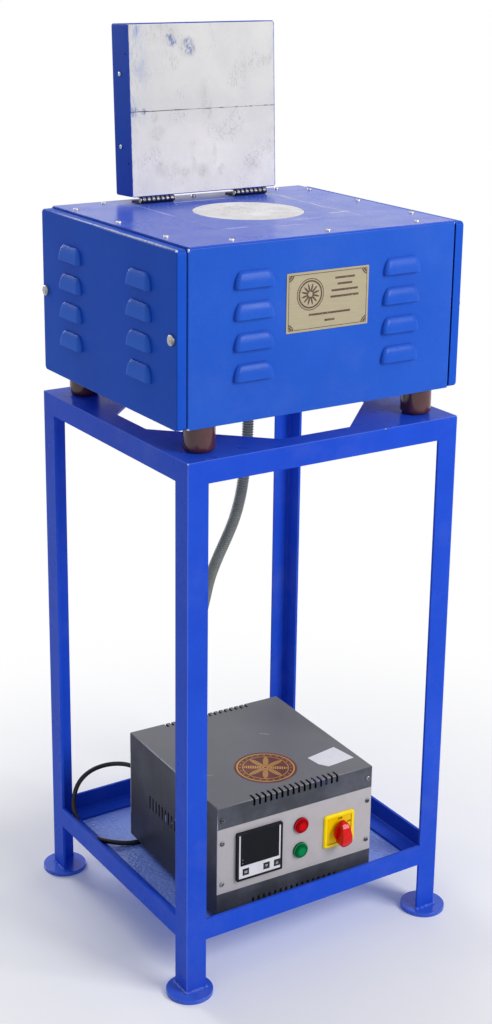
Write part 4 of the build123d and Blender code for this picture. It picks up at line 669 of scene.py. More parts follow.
@dataclass(frozen=True)
class Metal:
    """Bare or plated metal with fine brushing and dull patches."""

    name: str
    colour: Colour
    stain: Colour
    roughness: float = 0.32
    stained: float = 0.4

    def build(self) -> Material:
        """Make the material."""
        recipe = Recipe(self.name)
        patch = recipe.noise(90.0, 4, shift=2.5).rise(0.42, 0.7)
        tone = recipe.mix(patch * self.stained, self.colour, self.stain)
        rough = self.roughness + patch * 0.2 + recipe.noise(900.0, 2) * 0.1
        normal = recipe.bump(recipe.noise(1400.0, 2), 0.00002)
        return recipe.surface(Base_Color=tone, Roughness=rough, Metallic=1.0, Normal=normal)


@dataclass(frozen=True)
class Moulding:
    """Moulded plastic, rubber or glazed ceramic with a fine surface and a little dust."""

    name: str
    colour: Colour
    light: Colour
    roughness: float = 0.4
    grain: float = 0.00002
    grain_scale: float = 1500.0
    dust: float = 0.15
    specular: float = 0.3

    def build(self) -> Material:
        """Make the material."""
        recipe = Recipe(self.name)
        patch = recipe.noise(45.0, 4, shift=4.2).rise(0.4, 0.72)
        speck = recipe.noise(700.0, 2, shift=6.0).rise(0.6, 0.72)
        tone = recipe.mix(patch * self.dust + speck * self.dust * 0.5, self.colour, self.light)
        rough = (self.roughness + (patch - 0.3) * 0.14).clamped()
        normal = recipe.bump(recipe.noise(self.grain_scale, 3), self.grain)
        return recipe.surface(
            Base_Color=tone, Roughness=rough, Normal=normal, Specular_IOR_Level=self.specular
        )


@dataclass(frozen=True)
class Lens:
    """Coloured lens of a pilot lamp, its inside ribbed in rings round the lamp's axis, with painted shade
    at its rim's step.
    """

    name: str
    colour: Colour
    deep: Colour
    centre: Vector
    way: Vector

    RIM_SHADE = (20, 10, 14)

    def build(self) -> Material:
        """Make the material."""
        recipe = Recipe(self.name)
        apart = recipe.vector("SUBTRACT", recipe.place, tuple(self.centre)).outputs["Vector"]
        across = recipe.vector("CROSS_PRODUCT", apart, tuple(self.way)).outputs["Vector"]
        radius = Value(recipe, recipe.vector("LENGTH", across).outputs["Value"])
        rings = radius.repeat(0.0016).rise(0.0, 0.0008)
        rim = radius.band(0.0098, 0.0006, 0.0006)
        glow = radius.rise(0.0125, 0.004)
        tone = recipe.mix((glow * 0.7 + rings * 0.15).clamped(), self.deep, self.colour)
        # Painted shade: a dark ring at the step between the lens's rim and its dome.
        tone = recipe.mix(rim * 0.45, tone, self.RIM_SHADE)
        return recipe.surface(
            Base_Color=tone, Roughness=0.24 + rings * 0.1, Specular_IOR_Level=0.03,
            Normal=recipe.bump(rings, 0.00004), Emission_Color=linear(self.colour), Emission_Strength=0.12,
        )


@dataclass(frozen=True)
class DataPlate:
    """Plain etched plate: a brown border line, corner fans, a rosette and bare rules."""

    name: str
    centre: Vector
    width: float
    height: float

    METAL = ((176, 166, 138), (160, 150, 122))
    INK = (66, 32, 20)

    def build(self) -> Material:
        """Make the material."""
        recipe = Recipe(self.name)
        across, up = abs(recipe.x - self.centre.x), abs(recipe.z - self.centre.z)
        half_w, half_h = self.width / 2, self.height / 2
        inset = (half_w - across).least(half_h - up)
        border = inset.band(0.0042, 0.0004, 0.0004)
        corner_x, corner_z = half_w - across, half_h - up
        sweep = (corner_x * corner_x + corner_z * corner_z).root()
        fan = sweep.band(0.0145, 0.0011, 0.0004).most(sweep.band(0.0105, 0.0016, 0.0004))
        fan = fan * inset.rise(0.0045, 0.0049)
        rules = joined(self._rule(recipe, *spot) for spot in self._rules())
        ink = border.most(fan).most(rules).most(self._rosette(recipe))
        worn = recipe.noise(520.0, 3).rise(0.24, 0.42)
        metal = recipe.noise(240.0, 3, (0.12, 1.0, 1.0), 5.0)
        ground = recipe.mix(metal, *self.METAL)
        tone = recipe.mix(ink * worn * 0.95, ground, self.INK)
        return recipe.surface(
            Base_Color=tone, Roughness=0.34 + metal * 0.16, Metallic=(1.0 - ink) * 0.15,
            Normal=recipe.bump(ink, 0.00005),
        )

    @staticmethod
    def _rules() -> Iterable[tuple[float, float, float]]:
        """Centre and half length of the bare rules, from the plate's centre."""
        for row, half in enumerate((20.0, 15.0, 27.0, 29.0)):
            yield 34 * MM, (35.0 - 10.5 * row) * MM, half * MM
        yield 4 * MM, -23 * MM, 42 * MM
        yield 4 * MM, -35 * MM, 10 * MM

    def _rule(self, recipe: Recipe, x: float, z: float, half: float) -> Value:
        """One bare rule."""
        across = abs(recipe.x - (self.centre.x + x)).rise(half + 0.0005, half)
        return across * (recipe.z - (self.centre.z + z)).band(0.0, 0.0016, 0.0004)

    def _rosette(self, recipe: Recipe) -> Value:
        """Ringed star with twelve rays, left of the rules."""
        x, z = recipe.x - (self.centre.x - 36 * MM), recipe.z - (self.centre.z + 12 * MM)
        radius = (x * x + z * z).root()
        ray = (z.maths("ARCTAN2", z, x) * 6.0).sine()
        star = (ray * ray * 0.0115 + 0.007 - radius).rise(-0.0005, 0.0005) * radius.rise(0.0038, 0.0046)
        inner, outer = radius.band(22.5 * MM, 0.0013, 0.0004), radius.band(26.5 * MM, 0.0006, 0.0004)
        return star.most(inner).most(outer)


@dataclass(frozen=True)
class Medallion:
    """Round brown sticker with a gold ring and an eight-petalled rosette."""

    name: str
    centre: Vector
    radius: float

    BROWN = ((94, 38, 28), (132, 66, 44))
    GOLD = (214, 164, 84)

    def build(self) -> Material:
        """Make the material."""
        recipe = Recipe(self.name)
        x, y = recipe.x - self.centre.x, recipe.y - self.centre.y
        radius = (x * x + y * y).root()
        angle = y.maths("ARCTAN2", y, x)
        petal = (angle * 8.0).sine() * 0.5 + 0.5
        reach = (petal * 0.5 + 0.2) * self.radius
        rosette = (radius - reach).rise(0.0008, -0.0008) * radius.repeat(0.0042).rise(0.0006, 0.0012)
        rings = radius.band(self.radius * 0.9, 0.0009, 0.0005)
        rings = rings.most(radius.band(self.radius * 0.72, 0.0004, 0.0004))
        dots = (angle.repeat(math.pi / 12) * radius).rise(0.0013, 0.0007)
        dots = dots * radius.band(self.radius * 0.81, 0.0011, 0.0004)
        hub = radius.rise(0.0058, 0.005) - radius.rise(0.0036, 0.003)
        gold = joined((rosette * radius.rise(0.006, 0.007), rings, dots, hub))
        sheen = recipe.noise(30.0, 3, shift=2.0).rise(0.35, 0.7)
        ground = recipe.mix(sheen * 0.7, *self.BROWN)
        tone = recipe.mix(gold, ground, self.GOLD)
        return recipe.surface(Base_Color=tone, Roughness=0.34, Metallic=gold * 0.3, Specular_IOR_Level=0.25)


@dataclass(frozen=True)
class HingeSteel:
    """Hinge leaves over-painted with the casing, their knuckles rubbed to bare steel on top."""

    name: str
    axis: Vector
    reach: float
    pitch: float
    first: float
    second: float

    PAINT = (20, 28, 72)
    STEEL = (176, 172, 152)

    def build(self) -> Material:
        """Make the material."""
        recipe = Recipe(self.name)
        y, z = recipe.y - self.axis.y, recipe.z - self.axis.z
        barrel = (y * y + z * z).root().rise(self.reach * 1.15, self.reach * 1.08)
        crest = (z * 0.8 - y * 0.6).rise(0.0018, 0.0046)
        rubbed = recipe.noise(420.0, 3, shift=2.0).rise(0.3, 0.5)
        along = recipe.x - self.first + recipe.x.rise(0.0, 0.001) * (self.first - self.second)
        knuckle = (along + self.pitch / 2).repeat(self.pitch).rise(self.pitch * 0.34, self.pitch * 0.2)
        bare = (barrel * crest * rubbed * knuckle).clamped()
        tone = recipe.mix(bare * 0.75, self.PAINT, self.STEEL)
        return recipe.surface(
            Base_Color=tone, Roughness=0.42 - bare * 0.1, Specular_IOR_Level=0.15, Metallic=bare * 0.3,
            Normal=recipe.bump(recipe.noise(600.0, 2), 0.00003),
        )


class Finish(Protocol):
    """Anything that can build a material."""

    def build(self) -> Material:
        """Make the material."""


# ---------------------------------------------------------------- meshes
def add_piece(
    name: str, mesh: Mesh, body: Body, material: Material,
    replaces: Sequence[str] = (), sharp: float = 35.0,
) -> bpy.types.Object:
    """Add a finished mesh to the object.

    Args:
        name: name of the piece.
        mesh: its mesh, in place in the row frame.
        body: body it rides on.
        material: its finish.
        replaces: nodes it stands for.
        sharp: angle in degrees past which an edge stays sharp.

    Returns:
        The piece.
    """
    mesh.name = name
    mesh.materials.clear()
    mesh.materials.append(material)
    for face in mesh.polygons:
        face.use_smooth = True
        face.material_index = 0
    mesh.set_sharp_from_angle(angle=math.radians(sharp))
    piece = linked(name, mesh)
    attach(piece, body.value)
    if replaces:
        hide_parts(*replaces)
    LOG.info("%s: %d faces on %s", name, len(mesh.polygons), body.value)
    return piece


def mesh_from(made: Shape, place: Matrix | None = None) -> Mesh:
    """Turn a bmesh into a mesh in its place, with its normals outwards."""
    if place is not None:
        made.transform(place)
    bmesh.ops.remove_doubles(made, verts=made.verts, dist=1e-7)
    bmesh.ops.recalc_face_normals(made, faces=made.faces)
    mesh = bpy.data.meshes.new("mesh")
    made.to_mesh(mesh)
    made.free()
    return mesh


def round_outline(radius: float, steps: int, centre: tuple[float, float]) -> list[tuple[float, float]]:
    """Outline of a circle, anticlockwise."""
    turns = (2 * math.pi * n / steps for n in range(steps))
    return [(centre[0] + radius * math.cos(a), centre[1] + radius * math.sin(a)) for a in turns]


def loft(
    made: Shape, points: Sequence[Sequence[Point]], closed: bool = False
) -> list[list[bmesh.types.BMVert]]:
    """Join rings of equal count with walls.

    Args:
        made: mesh that gets them.
        points: the points of each ring.
        closed: whether the last ring joins the first.

    Returns:
        The rings' vertices.
    """
    rings = [[made.verts.new(point) for point in ring] for ring in points]
    for first, second in zip(rings, rings[1:] + (rings[:1] if closed else [])):
        for here, there in zip(range(len(first)), (*range(1, len(first)), 0)):
            made.faces.new((first[here], first[there], second[there], second[here]))
    return rings


def add_prism(made: Shape, outline: Outline, low: float, high: float, bevel: float = 0.0) -> None:
    """Add a prism over an outline, its upper edge cut back by a bevel."""
    levels = [(low, 0.0), (high - bevel, 0.0), (high, bevel)] if bevel else [(low, 0.0), (high, 0.0)]
    middle = Vector((sum(p[0] for p in outline), sum(p[1] for p in outline))) / len(outline)
    ways = [Vector(point) - middle for point in outline]
    points = [
        [(*(middle + way * (1 - cut / way.length)), height) for way in ways] for height, cut in levels
    ]
    rings = loft(made, points)
    made.faces.new(rings[0][::-1])
    made.faces.new(rings[-1])


def add_frame(made: Shape, outline: Outline, hole: float, low: float, high: float, crown: float) -> None:
    """Add a closed rim round an outline, its hole a share of the outline's size and its top crowned."""
    levels = ((0.0, low), (0.0, high - crown), (0.3, high), (0.7, high), (1.0, high - crown), (1.0, low))
    sizes = [(1 - share + hole * share, height) for share, height in levels]
    loft(made, [[(u * size, v * size, height) for u, v in outline] for size, height in sizes], closed=True)


def add_plate(
    made: Shape, size: tuple[float, float], holes: Sequence[tuple[float, float, float, float]],
    low: float, high: float,
) -> None:
    """Add a flat plate with rectangular holes.

    Args:
        made: mesh that gets it.
        size: the plate's half width and half height.
        holes: centre and half sizes of each hole.
        low: height of its back.
        high: height of its face.
    """
    cuts_x = {-size[0], size[0]} | {x + s * w for x, _, w, _ in holes for s in (-1, 1)}
    cuts_y = {-size[1], size[1]} | {y + s * h for _, y, _, h in holes for s in (-1, 1)}
    xs, ys = sorted(cuts_x), sorted(cuts_y)

    def solid(column: int, row: int) -> bool:
        """Whether a cell of the grid is inside the plate and in no hole."""
        if not (0 <= column < len(xs) - 1 and 0 <= row < len(ys) - 1):
            return False
        x, y = (xs[column] + xs[column + 1]) / 2, (ys[row] + ys[row + 1]) / 2
        return all(abs(x - hx) > w or abs(y - hy) > h for hx, hy, w, h in holes)

    for column in range(len(xs) - 1):
        for row in range(len(ys) - 1):
            if not solid(column, row):
                continue
            x0, x1, y0, y1 = xs[column], xs[column + 1], ys[row], ys[row + 1]
            quads = [((x0, y0, high), (x1, y0, high), (x1, y1, high), (x0, y1, high))]
            quads.append(((x0, y1, low), (x1, y1, low), (x1, y0, low), (x0, y0, low)))
            if not solid(column - 1, row):
                quads.append(((x0, y0, low), (x0, y0, high), (x0, y1, high), (x0, y1, low)))
            if not solid(column + 1, row):
                quads.append(((x1, y0, high), (x1, y0, low), (x1, y1, low), (x1, y1, high)))
            if not solid(column, row - 1):
                quads.append(((x0, y0, high), (x0, y0, low), (x1, y0, low), (x1, y0, high)))
            if not solid(column, row + 1):
                quads.append(((x0, y1, low), (x0, y1, high), (x1, y1, high), (x1, y1, low)))
            for quad in quads:
                made.faces.new([made.verts.new(corner) for corner in quad])


@dataclass
class ScrewShape:
    """Pan-head screw with a crossed recess, its seat on the origin and its head along z."""

    head: float
    height: float
    shank: float = 2.0 * MM
    length: float = 8.0 * MM

    def build(self) -> bpy.types.Object:
        """Make the screw as a loose object for the scatter tree."""
        made = bmesh.new()
        profile = [(0.0, -self.length), (self.shank, -self.length), (self.shank, 0.0), (self.head, 0.0)]
        for step in range(5):
            angle = math.pi / 2 * step / 4
            wide, high = 0.72 + 0.28 * math.cos(angle), 0.45 + 0.55 * math.sin(angle)
            profile.append((self.head * wide, self.height * high))
        profile.append((0.0, self.height))
        verts = [made.verts.new((r, 0.0, h)) for r, h in profile]
        edges = [made.edges.new(pair) for pair in zip(verts, verts[1:])]
        bmesh.ops.spin(
            made, geom=verts + edges, cent=(0, 0, 0), axis=(0, 0, 1), angle=2 * math.pi, steps=20
        )
        body = linked("screw_body", mesh_from(made))
        cutter = self._cutter()
        carve = body.modifiers.new("recess", "BOOLEAN")
        carve.operation, carve.object, carve.solver = "DIFFERENCE", cutter, "EXACT"
        mesh = evaluated(body)
        for spare in (body, cutter):
            bpy.data.objects.remove(spare)
        return bpy.data.objects.new("screw_shape", mesh)

    def _cutter(self) -> bpy.types.Object:
        """Solid that the recess is cut with."""
        made = bmesh.new()
        long, thin = self.head * 0.66, self.head * 0.2
        outline = [
            (thin, thin), (thin, long), (-thin, long), (-thin, thin), (-long, thin), (-long, -thin),
            (-thin, -thin), (-thin, -long), (thin, -long), (thin, -thin), (long, -thin), (long, thin),
        ]
        add_prism(made, outline, self.height * 0.15, self.height * 1.5)
        return linked("screw_cutter", mesh_from(made))


def facing_points(spots: Sequence[tuple[Vector, Vector]]) -> bpy.types.Object:
    """Object of loose points, each with the way it faces, for the scatter tree."""
    mesh = bpy.data.meshes.new("seats")
    mesh.from_pydata([tuple(at) for at, _ in spots], [], [])
    facing = mesh.attributes.new("facing", "FLOAT_VECTOR", "POINT")
    facing.data.foreach_set("vector", [value for _, way in spots for value in way])
    return linked("seats", mesh)


def add_screws(
    name: str, replaces: str, body: Body, metal: Metal, screw: ScrewShape,
    spots: Sequence[tuple[Vector, Vector]], spin: float,
) -> None:
    """Add a piece with the same screw on every seat.

    Args:
        name: name of the piece.
        replaces: node it stands for.
        body: body it rides on.
        metal: its finish.
        screw: shape of the screws.
        spots: each screw's seat and the way it faces.
        spin: how far a screw is turned at random, in radians.
    """
    material, shape = metal.build(), screw.build()
    values = {"Shape": shape, "Spin": spin, "Material": material}
    mesh = scatter_graph().bake(facing_points(spots), values)
    bpy.data.objects.remove(shape)
    add_piece(name, mesh, body, material, (replaces,))


def nurbs(name: str, points: Sequence[Vector], fineness: int = 12) -> bpy.types.Object:
    """Open NURBS curve with these control points, through its first and last one."""
    curve = bpy.data.curves.new(name, "CURVE")
    curve.dimensions = "3D"
    spline = curve.splines.new("NURBS")
    spline.points.add(len(points) - 1)
    for slot, point in zip(spline.points, points):
        slot.co = (*point, 1.0)
    spline.order_u = 3
    spline.use_endpoint_u = True
    spline.resolution_u = fineness
    return linked(name, curve)


def dress(nodes: Nodes, finish: Finish | Material, *names: str) -> Material:
    """Give some of the part's own nodes a finish.

    Args:
        nodes: the part's nodes by name.
        finish: a material, or what builds one.
        names: the nodes that get it.

    Returns:
        The material.
    """
    material = finish if isinstance(finish, bpy.types.Material) else finish.build()
    for name in names:
        slots = nodes[name].data.materials
        slots.clear()
        slots.append(material)
    return material


# ---------------------------------------------------------------- sub-assemblies
@dataclass
class Stand:
    """Angle-iron stand: painted steel, weld beads and round foot plates."""

    half_w: float = 280 * MM
    half_d: float = 262.5 * MM
    angle: float = 40 * MM
    top: float = 1000 * MM
    plate_top: float = 8 * MM
    bead_pitch: float = 4.4 * MM
    bead_radius: float = 4.2 * MM

    def build(self, nodes: Nodes) -> None:
        """Dress the stand and lay its welds."""
        # The stand's paint gets a painted highlight along its outer edges.
        paint = Enamel(
            "stand_enamel", (36, 84, 216), (28, 72, 200), roughness=0.3, specular=0.05, peel=0.00009,
            peel_scale=260.0, dust=0.06, chips=self._chips(), edges=(self.half_w, self.half_d, self.top),
        )
        rails = ("top_rails_front_rear", "top_rails_sides", "lower_rails_front_rear", "lower_rails_sides")
        legs = (f"leg_{row}_{side}" for row in ("front", "rear") for side in ("left", "right"))
        dress(nodes, paint, *legs, *rails, "corner_gussets")
        thick = Enamel(
            "foot_plate_enamel", (52, 98, 220), (42, 84, 206), roughness=0.2, specular=0.35, peel=0.0005,
            peel_scale=130.0, dust=0.12,
        )
        disc = dress(nodes, thick, "foot_plates")
        # Painted light: the tray floor gets a far paler blue than the stand's paint, standing in for the
        # light on it.
        tray = Enamel(
            "tray_painted_light_enamel", (136, 166, 254), (116, 148, 250), roughness=0.18, specular=0.4, peel=0.0022,
            peel_scale=150.0, dust=0.1,
        )
        dress(nodes, tray, "tray_floor")
        values = {"Pitch": self.bead_pitch, "Radius": self.bead_radius, "Material": disc}
        beads = bead_graph().bake(self._seams(), values)
        add_piece("weld_beads", beads, Body.ROOT, disc, sharp=80)

    def _chips(self) -> Iterable[Wear]:
        """Places along the front rail where the paint is knocked off to the steel."""
        for x, size in ((-self.half_w, 3.5), (120 * MM, 2.5), (self.half_w, 3.0)):
            yield Wear(Vector((x, -self.half_d, self.top)), size * MM)

    def _seams(self) -> bpy.types.Object:
        """Edges that the weld beads follow: the outer sides of each leg's foot."""
        points: list[Point] = []
        for side_x, side_y in product((-1, 1), repeat=2):
            x, start_x, end_x = (side_x * (self.half_w - cut) for cut in (0.0, 1 * MM, self.angle))
            y, start_y, end_y = (side_y * (self.half_d - cut) for cut in (0.0, 1 * MM, self.angle))
            corners_xy = ((start_x, y), (end_x, y), (x, start_y), (x, end_y))
            points += [(*spot, self.plate_top) for spot in corners_xy]
        mesh = bpy.data.meshes.new("seams")
        mesh.from_pydata(points, [(first, first + 1) for first in range(0, len(points), 2)], [])
        return linked("seams", mesh)


@dataclass
class Casing:
    """Furnace casing: panels, louvred covers, top plate, bolts, screws and data plate."""

    left: float = -267 * MM
    right: float = 273 * MM
    front: float = -240 * MM
    back: float = 240 * MM
    low: float = 1048 * MM
    top: float = 1348 * MM
    cover: float = 20 * MM
    screw_row: tuple[float, ...] = (95.0, 285.0, 472.0)
    screw_column: tuple[float, ...] = (100.0, 260.0, 418.0)
    row_inset: float = 22 * MM
    column_inset: float = 18 * MM
    plate: Vector = field(default_factory=lambda: mm(4.7, -240.0, 1237.3))
    plate_size: tuple[float, float] = (167 * MM, 101 * MM)

    def build(self, nodes: Nodes) -> None:
        """Dress the casing and add its screws."""
        front = Enamel(
            "casing_enamel", (38, 94, 206), (30, 84, 196), roughness=0.26, specular=0.1, dust=0.03,
            chips=self._chips(),
        )
        top = Enamel(
            "top_enamel", (60, 98, 218), (48, 84, 206), roughness=0.24, specular=0.2, dust=0.14,
            # The pressed outline round the mouth gets a painted highlight along its crease.
            scratches=self._top_scratches_and_highlights(), crease=(-0.132, 0.162, -0.120, 0.166),
        )
        covers = Enamel(
            "cover_enamel", (32, 88, 204), (26, 78, 192), roughness=0.34, specular=0.03, dust=0.01,
            # The left cover's upper rim gets painted highlight streaks.
            chips=self._chips(), scratches=self._rim_highlights(),
            # The louvre hoods that stand proud get a painted highlight.
            proud=((self.left + self.right) / 2, (self.right - self.left) / 2 + self.cover),
        )
        bolt = Metal("bolt_zinc", (168, 170, 172), (96, 94, 90), roughness=0.26, stained=0.7)
        brown = Moulding(
            "foot_brown_glaze", (80, 38, 44), (112, 70, 78), roughness=0.12, dust=0.3, specular=0.55,
            grain=0.0001, grain_scale=260.0,
        )
        dress(nodes, front, "front_panel", "casing_wrap", "base_plate")
        dress(nodes, covers, "side_cover_left", "side_cover_right")
        dress(nodes, top, "top_plate")
        dress(nodes, bolt, "side_cover_bolts")
        dress(nodes, DataPlate("data_plate_etched", self.plate, *self.plate_size), "data_plate")
        dress(nodes, brown, "furnace_feet")
        nickel = Metal("screw_nickel", (212, 208, 198), (150, 140, 124), roughness=0.26)
        seats = [(spot, Vector((0, 0, 1))) for spot in self._screws()]
        screw = ScrewShape(4.5 * MM, 2.8 * MM)
        add_screws("top_plate_screw_heads", "top_plate_screws", Body.ROOT, nickel, screw, seats, 3.1)

    def _screws(self) -> Iterable[Vector]:
        """Seats of the top plate's screws."""
        for along in self.screw_row:
            for y in (self.front + self.row_inset, self.back - self.row_inset):
                yield Vector((self.left + along * MM, y, self.top))
        for along in self.screw_column:
            for x in (self.left + self.column_inset, self.right - self.column_inset):
                yield Vector((x, self.front + along * MM, self.top))

    def _chips(self) -> Iterable[Wear]:
        """Places where the folded corners are knocked to bare metal."""
        for height, size in ((self.low, 0.005), (1.343, 0.0045)):
            yield Wear(Vector((self.left, self.front, height)), size)
            yield Wear(Vector((self.right, self.front, height)), size * 0.8)
        for along, height in ((-0.238, self.low), (-0.236, 1.344)):
            yield Wear(Vector((self.left - 0.019, along, height)), 0.004)

    def _rim_highlights(self) -> Iterable[Wear]:
        """Painted highlight streaks along the left cover's upper rim."""
        rim = Vector((self.left - 0.0185, 0.0, 1.3445))
        for start, end, half in ((-0.270, 0.06, 0.0040), (-0.236, 0.23, 0.0026), (-0.20, -0.06, 0.0034)):
            yield Wear(rim + Vector((0, start, 0)), half, rim + Vector((0, end, 0)))

    def _top_scratches_and_highlights(self) -> Iterable[Wear]:
        """Bright scratches and flecks on the top plate; the streaks along the crease round the mouth are
        painted highlights.
        """
        z = self.top
        for start, end, half in (
            ((-0.136, -0.120), (-0.070, -0.121), 0.0030), ((0.118, -0.070), (0.178, -0.066), 0.0040),
            ((0.155, -0.02), (0.163, 0.05), 0.0018), ((0.02, -0.100), (0.095, -0.098), 0.0020),
            ((-0.133, 0.02), (-0.134, 0.10), 0.0016), ((0.16, 0.09), (0.17, 0.16), 0.0020),
            ((0.19, -0.08), (0.235, -0.10), 0.0014), ((-0.05, -0.14), (0.03, -0.143), 0.0016),
        ):
            yield Wear(Vector((*start, z)), half, Vector((*end, z)))
        for x, y in ((0.175, 0.03), (0.196, 0.12), (-0.06, 0.145), (0.22, 0.05), (0.10, 0.16)):
            yield Wear(Vector((x, y, z)), 0.0022)


@dataclass
class Chamber:
    """Fibre plug in the mouth and everything inside the casing."""

    plug_top: float = 1348.0
    scribbles: tuple[Point, ...] = (
        (-30, -40, 40), (14, -56, 42), (58, -36, 38), (-52, 4, 30), (70, 14, 26), (10, 60, 30),
    )

    def build(self, nodes: Nodes) -> None:
        """Dress the chamber's pieces."""
        scribbled = tuple(Wear(mm(x, y, self.plug_top), size * MM) for x, y, size in self.scribbles)
        for finish, *names in (
            (
                FibreBoard(
                    "plug_fibre", (252, 250, 252), smears=scribbled, scratched=0.8, grain=0.0005
                ),
                "mouth_plug",
            ),
            (
                FibreBoard("insulation_fibre", (214, 208, 192), scratched=0.2, grain=0.0006),
                "insulation_block",
            ),
            (
                FibreBoard("refractory_clay", (206, 184, 156), scratched=0.3, grain=0.0006),
                "chamber_liner", "chamber_hearth",
            ),
            (
                Metal("element_alloy", (118, 112, 108), (74, 62, 56), roughness=0.5, stained=0.7),
                "heating_element",
            ),
            (
                Moulding(
                    "crucible_graphite", (44, 44, 47), (84, 84, 88), roughness=0.5, grain=0.0002,
                    grain_scale=500.0, dust=0.4,
                ),
                "crucible",
            ),
            (
                Moulding("ceramic_sheath", (222, 214, 196), (196, 184, 160), dust=0.3),
                "thermocouple", "terminal_block",
            ),
        ):
            dress(nodes, finish, *names)


@dataclass
class Lid:
    """Lid that stands open behind the mouth, with its boards, screws and hinges."""

    axis: Vector = field(default_factory=lambda: mm(0.0, 181.0, 1354.55))
    opened: float = 92.6
    left: float = -136 * MM
    right: float = 174 * MM
    low: float = -5.25 * MM
    back: float = -6.55 * MM
    length: float = 306 * MM
    board_proud: float = 0.8 * MM
    seam: float = 152 * MM
    knuckle: float = 6.25 * MM
    knuckle_pitch: float = 68 / 7 * MM
    hinge_ends: tuple[float, float] = (-116 * MM, 86 * MM)
    screws: tuple[tuple[float, float], ...] = ((89.0, 36.0), (218.0, 33.0))
    pilot_holes: tuple[tuple[float, float], ...] = ((60.0, 10.0), (253.0, 11.0))
    rubs: tuple[Point, ...] = (
        (84, 280, 10), (90, 272, 12), (124, 270, 14), (127, 258, 14), (8, 152, 12), (28, 152, 8),
    )
    smears: tuple[Point, ...] = (
        (64, 48, 22), (92, 46, 18), (112, 40, 14), (56, 112, 20), (50, 140, 14), (150, 40, 18),
        (262, 38, 24), (298, 78, 18), (300, 110, 12), (56, 290, 26), (80, 284, 24), (122, 262, 26),
        (292, 236, 16), (190, 40, 14),
    )
    drips: tuple[tuple[float, float, float, float], ...] = (
        (156, 132, 212, 15), (130, 22, 108, 8), (176, 38, 100, 7), (166, 126, 176, 9),
    )

    def __post_init__(self) -> None:
        """Work out the open lid's own directions."""
        turn = math.radians(self.opened)
        self.out = Vector((0, math.sin(turn), math.cos(turn)))
        self.up = self.out.cross(Vector((-1, 0, 0)))

    def point(self, x: float, along: float, deep: float) -> Vector:
        """Point of the open lid from its hinge edge and its lower rim, in metres."""
        return Vector((x, 0, 0)) + self.axis + self.up * (along - self.back) + self.out * (self.low + deep)

    def _on_board(self, x: float, along: float) -> Vector:
        """Point of the boards' face, in millimetres from its corner at the left hinge."""
        return self.point(self.left + x * MM, along * MM, -self.board_proud)

    def build(self, nodes: Nodes) -> None:
        """Dress the lid and add its screws."""
        dress(nodes, self._shell(), "lid_shell", "lid_handle")
        dress(nodes, self._boards(), "lid_boards")
        hinge = HingeSteel(
            "hinge_overpainted", self.axis, self.knuckle, self.knuckle_pitch, *self.hinge_ends
        )
        dress(nodes, hinge, "hinge_plate_leaves", "hinge_lid_leaves")
        pin = Metal("hinge_pin_steel", (168, 164, 152), (92, 84, 74), roughness=0.36)
        dress(nodes, pin, "hinge_pins")
        nickel = Metal("lid_screw_nickel", (200, 200, 202), (140, 136, 130), roughness=0.28)
        seats = [
            (self.point(side, along * MM, deep * MM), Vector((way, 0, 0)))
            for along, deep in self.screws for side, way in ((self.left, -1), (self.right, 1))
        ]
        screw = ScrewShape(4.0 * MM, 2.2 * MM)
        add_screws("lid_screw_heads", "lid_screws", Body.LID, nickel, screw, seats, 2.6)

    def _shell(self) -> Enamel:
        """Blue shell with painted shade for its pilot holes, and knocked corners."""
        holes = (
            Wear(self.point(side, along * MM, deep * MM), 3.2 * MM)
            for along, deep in self.pilot_holes for side in (self.left, self.right)
        )
        corners_hit = ((self.left, 0.0, 4.0), (self.left, self.length, 3.0), (self.right, self.length, 4.0))
        chips = (Wear(self.point(x, along, 0.0), size * MM) for x, along, size in corners_hit)
        return Enamel(
            "lid_enamel", (34, 78, 190), (26, 66, 174), roughness=0.32, specular=0.02, dust=0.01,
            chips=chips, holes=holes,
        )

    def _boards(self) -> FibreBoard:
        """White boards with blue rubs, grey smears and drips, and the seam between them."""
        rubs, smears = (
            tuple(Wear(self._on_board(x, along), size * MM) for x, along, size in marks)
            for marks in (self.rubs, self.smears)
        )
        drips = (
            Wear(self._on_board(x, low), half * MM, self._on_board(x, high))
            for x, low, high, half in self.drips
        )
        return FibreBoard(
            "lid_board_fibre", low_colour=(240, 236, 232), rubs=rubs, smears=(*smears, *drips),
            scuffs=Scuffs(self.left), seam=(self.point(0.0, self.seam, -self.board_proud), self.up, 0.0007),
        )


